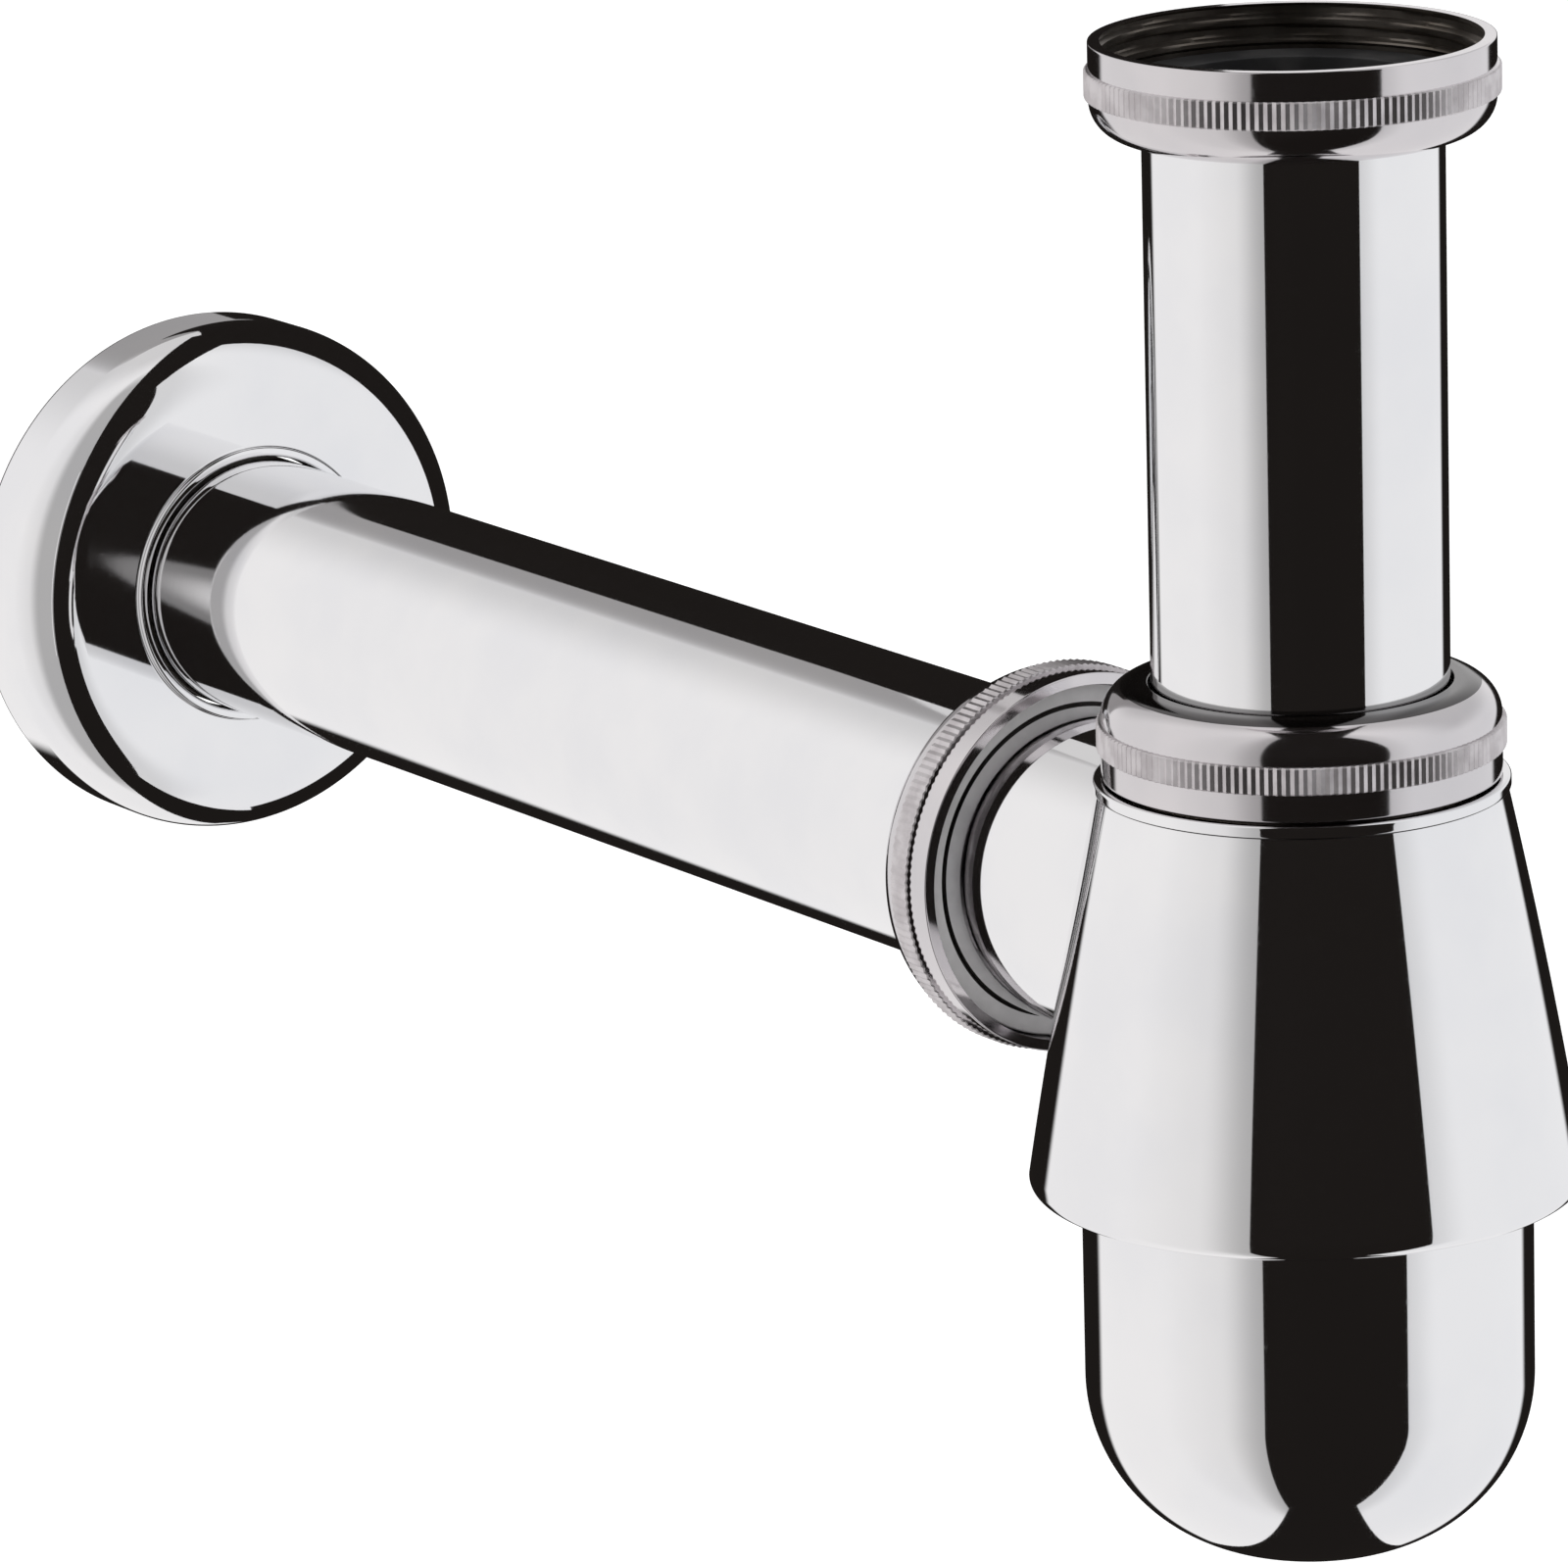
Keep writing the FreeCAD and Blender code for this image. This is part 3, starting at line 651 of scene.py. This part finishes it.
def coneReach(height):
    # the cone's radius and slope at a height, on its bowed side
    sizes = bodySizes
    share = (height - sizes["coneFoot"]) / (sizes["coneTop"] - sizes["coneFoot"])
    run = sizes["coneTop"] - sizes["coneFoot"]
    fall = sizes["coneTopRadius"] - sizes["skirt"]
    bow = (run * run + fall * fall) / (8 * sizes["coneBow"])
    reach = sizes["skirt"] + fall * share + bow * 4 * share * (1 - share)
    slope = (fall + bow * 4 * (1 - 2 * share)) / run
    return reach, slope


def makeCone():
    sizes = bodySizes
    rows = sizes["coneRows"]
    side = []
    for step in range(rows + 1):
        height = sizes["coneFoot"] + (sizes["coneTop"] - sizes["coneFoot"]) * step / rows
        side.append((coneReach(height)[0], height, 0))
    edgeCentre = (sizes["skirt"] - sizes["skirtRound"], sizes["coneFoot"])
    edge = arcPoints(edgeCentre, sizes["skirtRound"], -math.pi / 2, 0, sizes["skirtSteps"])
    corners = [(reach, sizes["skirtEdge"], 0) for reach in sizes["skirtRows"]]
    corners += edge[:-1] + side
    corners += [
        (sizes["ring"], sizes["coneTop"], sizes["ringEdge"]),
        (sizes["ring"], sizes["ringTop"], sizes["ringEdge"]),
        (sizes["neck"], sizes["ringTop"], sizes["neckRoot"]),
    ]
    threadTop = sizes["neckTop"] - sizes["chamfer"]
    corners += threadRows(sizes["neck"], sizes["ringTop"] + sizes["rowLead"], threadTop)
    corners += [(sizes["neck"] - sizes["chamfer"], sizes["neckTop"], 0), (0, sizes["neckTop"], 0)]
    cone = spunPiece("trapBody", corners)
    grooveFoot = sizes["ringTop"] + sizes["grooveLead"]
    cutThread(cone, grooveFoot, threadTop, sizes["neck"], sizes["threadDepth"], sizes["pitch"])
    return cone


seamSizes = {
    "topFrom": 0.72, "topOver": 0.24, "ringFrom": 0.5, "ringOver": 0.6, "inward": 5.0, "outward": 2.0,
    "nearTip": 8, "farTip": 40, "pocket": 0.15, "pocketFrom": 5, "pocketLow": -122, "pocketTop": 0.1,
    "weld": 0.04, "rows": 10, "lead": 0.15, "stubRow": 38.0, "midway": 40,
    "rootEdge": 0.1, "threadEdge": 0.15, "threadLead": 0.3,
}


def filletRing(angle):
    # the ball that rolls in the corner: its centre, and the ways to the branch and to the cone
    sizes = bodySizes
    ways = Vector((math.cos(angle), 0, math.sin(angle)))
    nearTop = min(1, max(0, (math.sin(angle) - seamSizes["topFrom"]) / seamSizes["topOver"]))
    change = (sizes["topFillet"] - sizes["fillet"]) * nearTop * nearTop * (3 - 2 * nearTop)
    radius = sizes["fillet"] + change
    centre = ways * (sizes["branch"] + radius)
    height = outletHeight + centre.z
    contact = height
    for attempt in range(4):  # enough for the contact to settle
        reach, slope = coneReach(min(contact, sizes["coneTop"]))
        lean = math.atan(-slope)
        contact = height - radius * math.sin(lean)
    onRing = min(1, max(0, (contact - sizes["coneTop"] + seamSizes["ringFrom"]) / seamSizes["ringOver"]))
    reach += (sizes["ring"] - reach) * onRing
    if contact > sizes["coneTop"]:
        lean = 0.0
    far = reach + radius * math.cos(lean)
    centre.y = math.sqrt(far * far - centre.x * centre.x)
    centre.z = height
    outward = Vector((centre.x / far * math.cos(lean), centre.y / far * math.cos(lean), math.sin(lean)))
    return centre, -ways, -outward, radius


def openSeam(cone, balls):
    # the cone is opened along the fillet's edge
    sizes = bodySizes
    seam = seamSizes
    line = [centre + toCone * radius for centre, toBranch, toCone, radius in balls]
    inside = [spot + ball[2] * seam["inward"] for spot, ball in zip(line, balls)]
    outside = [spot - ball[2] * seam["outward"] for spot, ball in zip(line, balls)]
    tips = [(0, seam["nearTip"], outletHeight), (0, seam["farTip"], outletHeight)]
    cutAway(cone, loft("seamCutter", [inside, outside], tips))
    clearSelection(cone, "FACE")
    for face in cone.data.polygons:  # the pocket's wall and floor
        spot = face.center / mm
        depth = coneReach(min(spot.z, sizes["coneTop"]))[0] - math.hypot(spot.x, spot.y)
        inHeight = seam["pocketLow"] < spot.z < sizes["ringTop"] - seam["pocketTop"]
        face.select = spot.y > seam["pocketFrom"] and depth > seam["pocket"] and inHeight
    bpy.ops.object.mode_set(mode="EDIT")
    bpy.ops.mesh.delete(type="FACE")
    bpy.ops.object.mode_set(mode="OBJECT")
    pickOpenEdges(cone, lambda spot: True)
    bpy.ops.object.mode_set(mode="EDIT")
    bpy.ops.mesh.remove_doubles(threshold=seam["weld"] * mm)
    bpy.ops.object.mode_set(mode="OBJECT")
    print("seam opened", len(cone.data.polygons))


def makeBranch(balls):
    # the fillet, the stub and its threaded end
    sizes = bodySizes
    seam = seamSizes
    rings = []
    for level in range(1, seam["rows"] + 1):
        share = level / seam["rows"]
        ring = []
        for centre, toBranch, toCone, radius in balls:
            sweep = toBranch.angle(toCone)
            conePart = toCone * math.sin((1 - share) * sweep)
            way = (conePart + toBranch * math.sin(share * sweep)) / math.sin(sweep)
            ring.append(centre + way * radius)
        rings.append(ring)
    rings.append([spot + Vector((0, seam["lead"], 0)) for spot in rings[-1]])
    step = sizes["threadStart"]
    threadTop = sizes["mouth"] - sizes["chamfer"]
    profile = [(sizes["branch"], seam["stubRow"]), (sizes["branch"], step - seam["rootEdge"])]
    profile += [(sizes["branch"] + seam["rootEdge"], step), (sizes["gapRoot"], step)]
    profile += [(sizes["branchThread"] - seam["threadEdge"], step)]
    profile += [(sizes["branchThread"], step + seam["threadEdge"])]
    profile += [row[:2] for row in threadRows(sizes["branchThread"], step + seam["threadLead"], threadTop)]
    profile += [(sizes["branchThread"] - sizes["chamfer"], sizes["mouth"])]
    inward = [ball[1] for ball in balls]
    for reach, along in profile:
        rings.append([Vector((reach * -way.x, along, outletHeight - reach * way.z)) for way in inward])
    branch = loft("branch", rings)
    cutThread(branch, step + seam["threadLead"], threadTop, sizes["branchThread"], sizes["threadDepth"],
              sizes["pitch"], outlet=True)
    return branch


def makeBody():
    cone = makeCone()
    balls = [filletRing(2 * math.pi * step / turnSteps) for step in range(turnSteps)]
    openSeam(cone, balls)
    branch = makeBranch(balls)
    deselectAll()
    branch.select_set(True)
    cone.select_set(True)
    bpy.context.view_layer.objects.active = cone
    bpy.ops.object.join()
    pickOpenEdges(cone, lambda spot: spot.y < seamSizes["midway"])  # the seam's two loops
    bpy.ops.object.mode_set(mode="EDIT")
    bpy.ops.mesh.bridge_edge_loops()
    bpy.ops.object.mode_set(mode="OBJECT")
    pickOpenEdges(cone, lambda spot: spot.y > seamSizes["midway"])  # the mouth
    bpy.ops.object.mode_set(mode="EDIT")
    bpy.ops.mesh.edge_face_add()
    bpy.ops.mesh.select_all(action="SELECT")
    bpy.ops.mesh.normals_make_consistent(inside=False)
    bpy.ops.object.mode_set(mode="OBJECT")
    return cone


chamberSizes = {
    "skirtInner": 28.1, "relief": 24.95, "threadFoot": -121.5, "thread": 23.9, "runOut": 0.4,
    "ledgeUnder": -112.8, "ledge": 21.3, "ledgeTop": -111.5, "chamberFoot": 25.56, "chamberTop": 20.4,
    "roof": -83.5, "passage": 16.3, "seat": 2.3, "hole": 13.0, "holeStart": 10, "socketStop": 25.5,
    "edge": 0.2, "round": 0.8, "stopEdge": 0.3, "pitch": 1.5, "threadDepth": 0.5, "beyond": 1,
}


def makeChamber():
    sizes = chamberSizes
    edge = bodySizes["skirtEdge"]
    top = bodySizes["neckTop"]
    flare = (sizes["skirtInner"] - sizes["relief"]) / (sizes["threadFoot"] - edge)
    threadTop = sizes["ledgeUnder"] - sizes["runOut"]
    corners = [
        (0, edge - sizes["beyond"], 0),
        (sizes["skirtInner"] + flare * sizes["beyond"], edge - sizes["beyond"], 0),
        (sizes["relief"], sizes["threadFoot"], sizes["edge"]),
    ]
    corners += threadRows(sizes["thread"], sizes["threadFoot"], threadTop)
    corners += [
        (sizes["thread"], sizes["ledgeUnder"], 0),
        (sizes["ledge"], sizes["ledgeUnder"], sizes["edge"]),
        (sizes["ledge"], sizes["ledgeTop"], sizes["edge"]),
        (sizes["chamberFoot"], sizes["ledgeTop"], sizes["round"]),
        (sizes["chamberTop"], sizes["roof"], sizes["round"]),
        (sizes["passage"], sizes["roof"], sizes["stopEdge"]),
        (sizes["passage"], top - sizes["seat"], 0),
        (sizes["passage"] + sizes["seat"] + sizes["beyond"], top + sizes["beyond"], 0),
        (0, top + sizes["beyond"], 0),
    ]
    chamber = spunPiece("chamberCutter", corners, steps=cutterSteps)
    cutThread(chamber, sizes["threadFoot"], threadTop, sizes["thread"], sizes["threadDepth"],
              sizes["pitch"])
    return chamber


def makeSocket():
    sizes = chamberSizes
    mouth = bodySizes["mouth"]
    return spunPiece("socketCutter", [
        (0, sizes["holeStart"], 0),
        (sizes["hole"], sizes["holeStart"], 0),
        (sizes["hole"], sizes["socketStop"], sizes["stopEdge"]),
        (sizes["passage"], sizes["socketStop"], sizes["stopEdge"]),
        (sizes["passage"], mouth - sizes["seat"], 0),
        (sizes["passage"] + sizes["seat"] + sizes["beyond"], mouth + sizes["beyond"], 0),
        (0, mouth + sizes["beyond"], 0),
    ], steps=cutterSteps, outlet=True)


bodyZones = {
    "gapLead": 0.06, "gapEnd": 0.1, "underRing": 0.35, "underReach": 21.9, "socketFrom": 20, "socket": 17.3,
    "neckLead": 0.05, "neck": 20.2, "branchFrom": 15, "branch": 21, "wall": 1.0, "downTilt": 0.3,
}


def bodyInside(place, normal):
    # 1 for the inside, 2 for painted shade in the gap in the nut and in the line under the ring,
    # 3 for the face in the nut's mouth
    sizes = bodySizes
    zones = bodyZones
    reach = math.hypot(place.x, place.y)
    fromOutlet = math.hypot(place.x, place.z - outletHeight)
    if place.y > sizes["threadStart"] - zones["gapLead"]:
        return 2 if fromOutlet < sizes["gapRoot"] or place.y > sizes["threadStart"] + zones["gapEnd"] else 3
    nearRing = abs(place.z - sizes["coneTop"]) < zones["underRing"]
    if nearRing and normal.z < -zones["downTilt"] and reach > zones["underReach"]:
        return 2
    if place.y > zones["socketFrom"] and fromOutlet < zones["socket"]:
        return 1
    if place.z > sizes["ringTop"] - zones["neckLead"]:
        return int(reach < zones["neck"])
    onBranch = place.y > zones["branchFrom"] and fromOutlet < zones["branch"]
    return int(reach < coneReach(min(place.z, sizes["coneTop"]))[0] - zones["wall"] and not onBranch)


trapBody = makeBody()
cutAway(trapBody, makeChamber())
cutAway(trapBody, makeSocket())
smooth(trapBody, bodySizes["crease"])
bodyFinishes = [chromeUpright, boreFinish, gapShadeFinish, faceFinish]
dress(trapBody, "trap_body", "trap_body", bodyFinishes, bodyInside)


# Seals and rings under the nuts

sealSizes = {"passage": 16.3, "outside": 19.7, "root": 18.4, "nose": 1.8, "flange": 1.5, "tip": 0.3,
             "tipEdge": 0.1, "edge": 0.2, "backEdge": 0.15, "neckTip": -75.85, "branchTip": 43.9}
slipSizes = {"inside": 16.3, "outside": 19.7, "thickness": 1.1, "neckFoot": -72.55, "branchFoot": 47.2}
washerSizes = {"inside": 14.8, "outside": 19.5, "thickness": 2.0, "foot": -6.8}
gasketSizes = {"inside": 21.7, "outside": 23.5, "thickness": 1.5, "foot": -114.3}


def makeSeal(name, tip, outlet=False):
    sizes = sealSizes
    return spunPiece(name, [
        (sizes["passage"], tip, sizes["tipEdge"]),
        (sizes["passage"] + sizes["tip"], tip, sizes["tipEdge"]),
        (sizes["root"], tip + sizes["nose"], 0),
        (sizes["outside"], tip + sizes["nose"], sizes["edge"]),
        (sizes["outside"], tip + sizes["nose"] + sizes["flange"], sizes["edge"]),
        (sizes["passage"], tip + sizes["nose"] + sizes["flange"], sizes["backEdge"]),
    ], ringSteps, outlet)


def makeFlatRing(name, sizes, foot, outlet=False):
    innerEdge, outerEdge = 0.15, 0.2
    return spunPiece(name, [
        (sizes["inside"], foot, innerEdge),
        (sizes["outside"], foot, outerEdge),
        (sizes["outside"], foot + sizes["thickness"], outerEdge),
        (sizes["inside"], foot + sizes["thickness"], innerEdge),
    ], ringSteps, outlet)


bodySeal = makeSeal("bodySeal", sealSizes["neckTip"])
dress(bodySeal, "trap_body", "body_seal", [rubberFinish])
outletSeal = makeSeal("outletSeal", sealSizes["branchTip"], True)
dress(outletSeal, "trap_body", "outlet_seal", [rubberFinish])
bodySlip = makeFlatRing("bodySlipRing", slipSizes, slipSizes["neckFoot"])
dress(bodySlip, "trap_body", "body_slip_ring", [plasticFinish])
outletSlip = makeFlatRing("outletSlipRing", slipSizes, slipSizes["branchFoot"], True)
dress(outletSlip, "trap_body", "outlet_slip_ring", [plasticFinish])
washer = makeFlatRing("inletWasher", washerSizes, washerSizes["foot"])
dress(washer, "inlet_tube", "inlet_washer", [rubberFinish])
gasket = makeFlatRing("cupGasket", gasketSizes, gasketSizes["foot"])
dress(gasket, "cup", "cup_gasket", [rubberFinish])


# Studio: a soft white room hung with dark cloths, as chrome needs

cameraSide = {"azimuth": -34.2458, "elevation": 14.7507, "roll": -1.6298, "focal": 9341.3,
              "imageWidth": 1600, "sensor": 36.0, "clipStart": 0.01, "clipEnd": 50.0,
              "place": (-0.57878, -0.75173, 0.17018)}
cameraTurn = math.radians(cameraSide["azimuth"])
# each pair starts and ends a soft step: left, right and middle in degrees round from the camera,
# outlineSoft in shares of the outline, the others in parts of a direction; outlineHeight is in degrees
roomLook = {
    "light": (0.95, 0.94, 0.94, 1), "coolLight": (0.91, 0.915, 0.93, 1), "dark": (0.013, 0.011, 0.010, 1),
    "outlineWidth": 0.64, "outlineHeight": 22.5, "outlineSoft": (0.88, 1.12), "outlineBehind": (-0.1, 0.0),
    "leftWide": (-95, -32), "leftFar": 0.14, "leftNarrow": (-50, -25.5), "leftNear": 0.36,
    "rightSide": (46.0, 66), "rightStart": (-5, 10), "rightNear": 0.2, "middle": (10, 46.0),
    "inFront": (0.0, 0.3),
    "overSide": (-0.4, 0.05), "overHeight": (0.15, 0.5), "overBehind": (-0.3, 0.2), "overhead": 0.25,
    "coolSide": (-0.2, 0.9), "fill": 0.75,
}


def makeRoom():
    look = roomLook
    room = bpy.data.worlds.new("softRoom")
    bpy.context.scene.world = room
    room.use_nodes = True
    room.node_tree.nodes.clear()
    wire = Wire(room.node_tree)
    way = wire.node("ShaderNodeTexCoord")[0]  # Generated, which in a room is the direction
    nearer = way.towards((math.sin(cameraTurn), -math.cos(cameraTurn), 0))
    rightward = way.towards((math.cos(cameraTurn), math.sin(cameraTurn), 0))
    upward = way.towards((0, 0, 1))
    bearing = rightward.maths("ARCTAN2", nearer) * (180 / math.pi)
    height = upward.maths("ARCSINE", 0.0) * (180 / math.pi)

    # a dark patch right behind, which draws the outlines
    sideways = rightward * (1 / look["outlineWidth"])
    upDown = (height + cameraSide["elevation"]) * (1 / look["outlineHeight"])
    outline = 1 - (sideways * sideways + upDown * upDown).step(*look["outlineSoft"])
    outline = outline * (1 - nearer.step(*look["outlineBehind"]))

    # soft shading beside the front cloth, and overhead behind the outlet
    left = bearing.step(*look["leftWide"]) * look["leftFar"]
    left = left + bearing.step(*look["leftNarrow"]) * look["leftNear"]
    left = left * (1 - bearing.step(*look["middle"]))
    right = (1 - bearing.step(*look["rightSide"])) * bearing.step(*look["rightStart"]) * look["rightNear"]
    beside = left.maths("MAXIMUM", right) * nearer.step(*look["inFront"])
    overhead = way.towards((1, 0, 0)).step(*look["overSide"]) * upward.step(*look["overHeight"])
    overhead = overhead * (1 - nearer.step(*look["overBehind"]))
    shade = outline.maths("MAXIMUM", beside).maths("MAXIMUM", overhead * look["overhead"])
    light = blend(wire, rightward.step(*look["coolSide"]), look["light"], look["coolLight"])
    seen = blend(wire, shade, light, look["dark"])

    rays = wire.node("ShaderNodeLightPath")  # the first tells camera rays, the fourth mirrored ones
    mirrored = wire.node("ShaderNodeBackground", None, {"Color": seen, "Strength": 1.0})[0]
    plain = wire.node("ShaderNodeBackground", None, {"Color": (1, 1, 1, 1), "Strength": look["fill"]})[0]
    white = wire.node("ShaderNodeBackground", None, {"Color": (1, 1, 1, 1), "Strength": 1.0})[0]
    inMirror = wire.node("ShaderNodeMixShader", None, {0: rays[3], 1: plain, 2: mirrored})[0]
    final = wire.node("ShaderNodeMixShader", None, {0: rays[0], 1: inMirror, 2: white})[0]
    wire.node("ShaderNodeOutputWorld", None, {"Surface": final})


# outlines are (along the outlet, height) in metres
flagSizes = {
    "aside": 0.12, "veilGap": 0.001, "grey": (0.36, 0.35, 0.35, 1), "pale": (0.72, 0.71, 0.715, 1),
    "fadeFrom": 0.2, "fadeTo": 1.3,
    "outline": [(0.17, -0.36), (0.384, -0.36), (0.377, -0.1), (0.393, -0.03), (0.419, 0.006),
                (0.465, 0.054), (0.562, 0.14), (0.42, 0.14), (0.3, 0.28), (0.17, 0.28)],
    "veil": [(0.34, -0.04), (0.62, -0.04), (4.5, 0.1), (4.5, 1.6), (2.0, 1.6), (0.4, 0.14), (0.34, 0.05)],
}
clothSizes = {
    "front": 0.244, "left": -0.1164, "right": 0.253, "narrow": 0.1885, "low": -0.82, "high": 0.565,
    "wideLow": -0.322, "wideHigh": 0.044, "topBack": -0.61, "underBack": -0.887,
}
hemSizes = {"ahead": 0.5, "near": -0.07, "far": -0.142, "fadeFrom": 0.114, "fadeTo": 0.138,
            "low": -0.4, "high": 0.3, "grey": (0.25, 0.245, 0.245, 1)}


def hangCloth(name, corners, colour, fade=None):
    # a cloth that is seen only in the chrome, of one colour or fading along a direction to another
    mesh = bpy.data.meshes.new(name)
    mesh.from_pydata(corners, [], [tuple(range(len(corners)))])
    cloth = bpy.data.objects.new(name, mesh)
    bpy.context.scene.collection.objects.link(cloth)
    finish, wire = newFinish(name)
    if fade:
        direction, start, end, farColour = fade
        along = ownPlace(wire).towards(direction)
        colour = blend(wire, along.step(start, end), colour, farColour)
    surface = wire.node("ShaderNodeEmission", None, {"Color": colour, "Strength": 1.0})[0]
    wire.node("ShaderNodeOutputMaterial", None, {"Surface": surface})
    mesh.materials.append(finish)
    cloth.visible_camera = False
    cloth.visible_diffuse = False
    cloth.visible_shadow = False
    cloth.visible_transmission = False


def makeCloths():
    # a flag and a grey veil beside the outlet, three cloths from underfoot up the front and on overhead,
    # and a grey hem far in front
    flag = flagSizes
    cloth = clothSizes
    hem = hemSizes
    dark = roomLook["dark"]

    def spot(aside, ahead, height):
        along = math.sin(cameraTurn) * aside - math.cos(cameraTurn) * ahead
        return (math.sin(cameraTurn) * ahead + math.cos(cameraTurn) * aside, along, height)

    def beside(aside, outline):
        return [(aside, along, height) for along, height in outline]

    hangCloth("sideFlag", beside(flag["aside"], flag["outline"]), dark)
    hangCloth("sideVeil", beside(flag["aside"] + flag["veilGap"], flag["veil"]), flag["grey"],
              ((0, 0, 1), flag["fadeFrom"], flag["fadeTo"], flag["pale"]))
    rightSide = [("narrow", "low"), ("right", "wideLow"), ("right", "wideHigh"), ("narrow", "high")]
    outline = [("left", "low")] + rightSide + [("left", "high")]
    corners = [spot(cloth[aside], cloth["front"], cloth[height]) for aside, height in outline]
    hangCloth("frontCloth", corners, dark)
    ends = [("near", "low"), ("far", "low"), ("far", "high"), ("near", "high")]
    leftward = (-math.cos(cameraTurn), -math.sin(cameraTurn), 0)
    corners = [spot(hem[aside], hem["ahead"], hem[height]) for aside, height in ends]
    hangCloth("farHem", corners, hem["grey"], (leftward, hem["fadeFrom"], hem["fadeTo"], roomLook["light"]))
    for name, back, height in (("topCloth", "topBack", "high"), ("underCloth", "underBack", "low")):
        ends = [("left", "front"), ("narrow", "front"), ("narrow", back), ("left", back)]
        hangCloth(name, [spot(cloth[aside], cloth[ahead], cloth[height]) for aside, ahead in ends], dark)


floorLook = {"size": 9.0, "height": -0.30, "colour": (0.8, 0.8, 0.8, 1), "glow": 0.55}


def makeFloor():
    deselectAll()
    bpy.ops.mesh.primitive_plane_add(size=floorLook["size"], location=(0, 0, floorLook["height"]))
    floor = bpy.context.object
    floor.name = "paleFloor"
    finish, wire = newFinish("paleFloor")
    lit = wire.node("ShaderNodeBsdfDiffuse", None, {"Color": floorLook["colour"]})[0]
    glow = wire.node("ShaderNodeEmission", None, {"Color": (1, 1, 1, 1), "Strength": floorLook["glow"]})[0]
    both = wire.node("ShaderNodeAddShader", None, {0: lit, 1: glow})[0]
    under = wire.node("ShaderNodeNewGeometry")[6]  # Backfacing, so that it is clear from below
    clear = wire.node("ShaderNodeBsdfTransparent")[0]
    surface = wire.node("ShaderNodeMixShader", None, {0: under, 1: both, 2: clear})[0]
    wire.node("ShaderNodeOutputMaterial", None, {"Surface": surface})
    floor.data.materials.append(finish)
    floor.visible_glossy = False
    floor.visible_diffuse = False


lampLook = {"place": (-0.7, -0.5, 1.4), "target": (0, 0.08, -0.08), "size": 1.2, "energy": 6.0}


def makeLamp():
    bpy.ops.object.light_add(type="AREA", location=lampLook["place"])
    lamp = bpy.context.object
    lamp.name = "softLamp"
    lamp.data.size = lampLook["size"]
    lamp.data.energy = lampLook["energy"]
    lamp.visible_glossy = False
    lamp.rotation_euler = (Vector(lampLook["target"]) - lamp.location).to_track_quat("-Z", "Y").to_euler()


def makeCamera():
    side = cameraSide
    lift = math.radians(side["elevation"])
    roll = math.radians(side["roll"])
    level = math.cos(lift)
    back = Vector((math.sin(cameraTurn) * level, -math.cos(cameraTurn) * level, math.sin(lift)))
    right = Vector((math.cos(cameraTurn), math.sin(cameraTurn), 0))
    up = back.cross(right)
    rolledRight = right * math.cos(roll) + up * math.sin(roll)
    rolledUp = up * math.cos(roll) - right * math.sin(roll)
    bpy.ops.object.camera_add()
    camera = bpy.context.object
    camera.data.sensor_fit = "HORIZONTAL"
    camera.data.sensor_width = side["sensor"]
    camera.data.lens = side["focal"] / side["imageWidth"] * side["sensor"]
    camera.data.clip_start = side["clipStart"]
    camera.data.clip_end = side["clipEnd"]
    turned = Matrix((rolledRight, rolledUp, back)).transposed().to_4x4()
    camera.matrix_world = Matrix.Translation(side["place"]) @ turned
    bpy.context.scene.camera = camera


makeRoom()
makeCloths()
makeFloor()
makeLamp()
makeCamera()
bpy.context.scene.view_settings.view_transform = "Standard"
print("studio set")
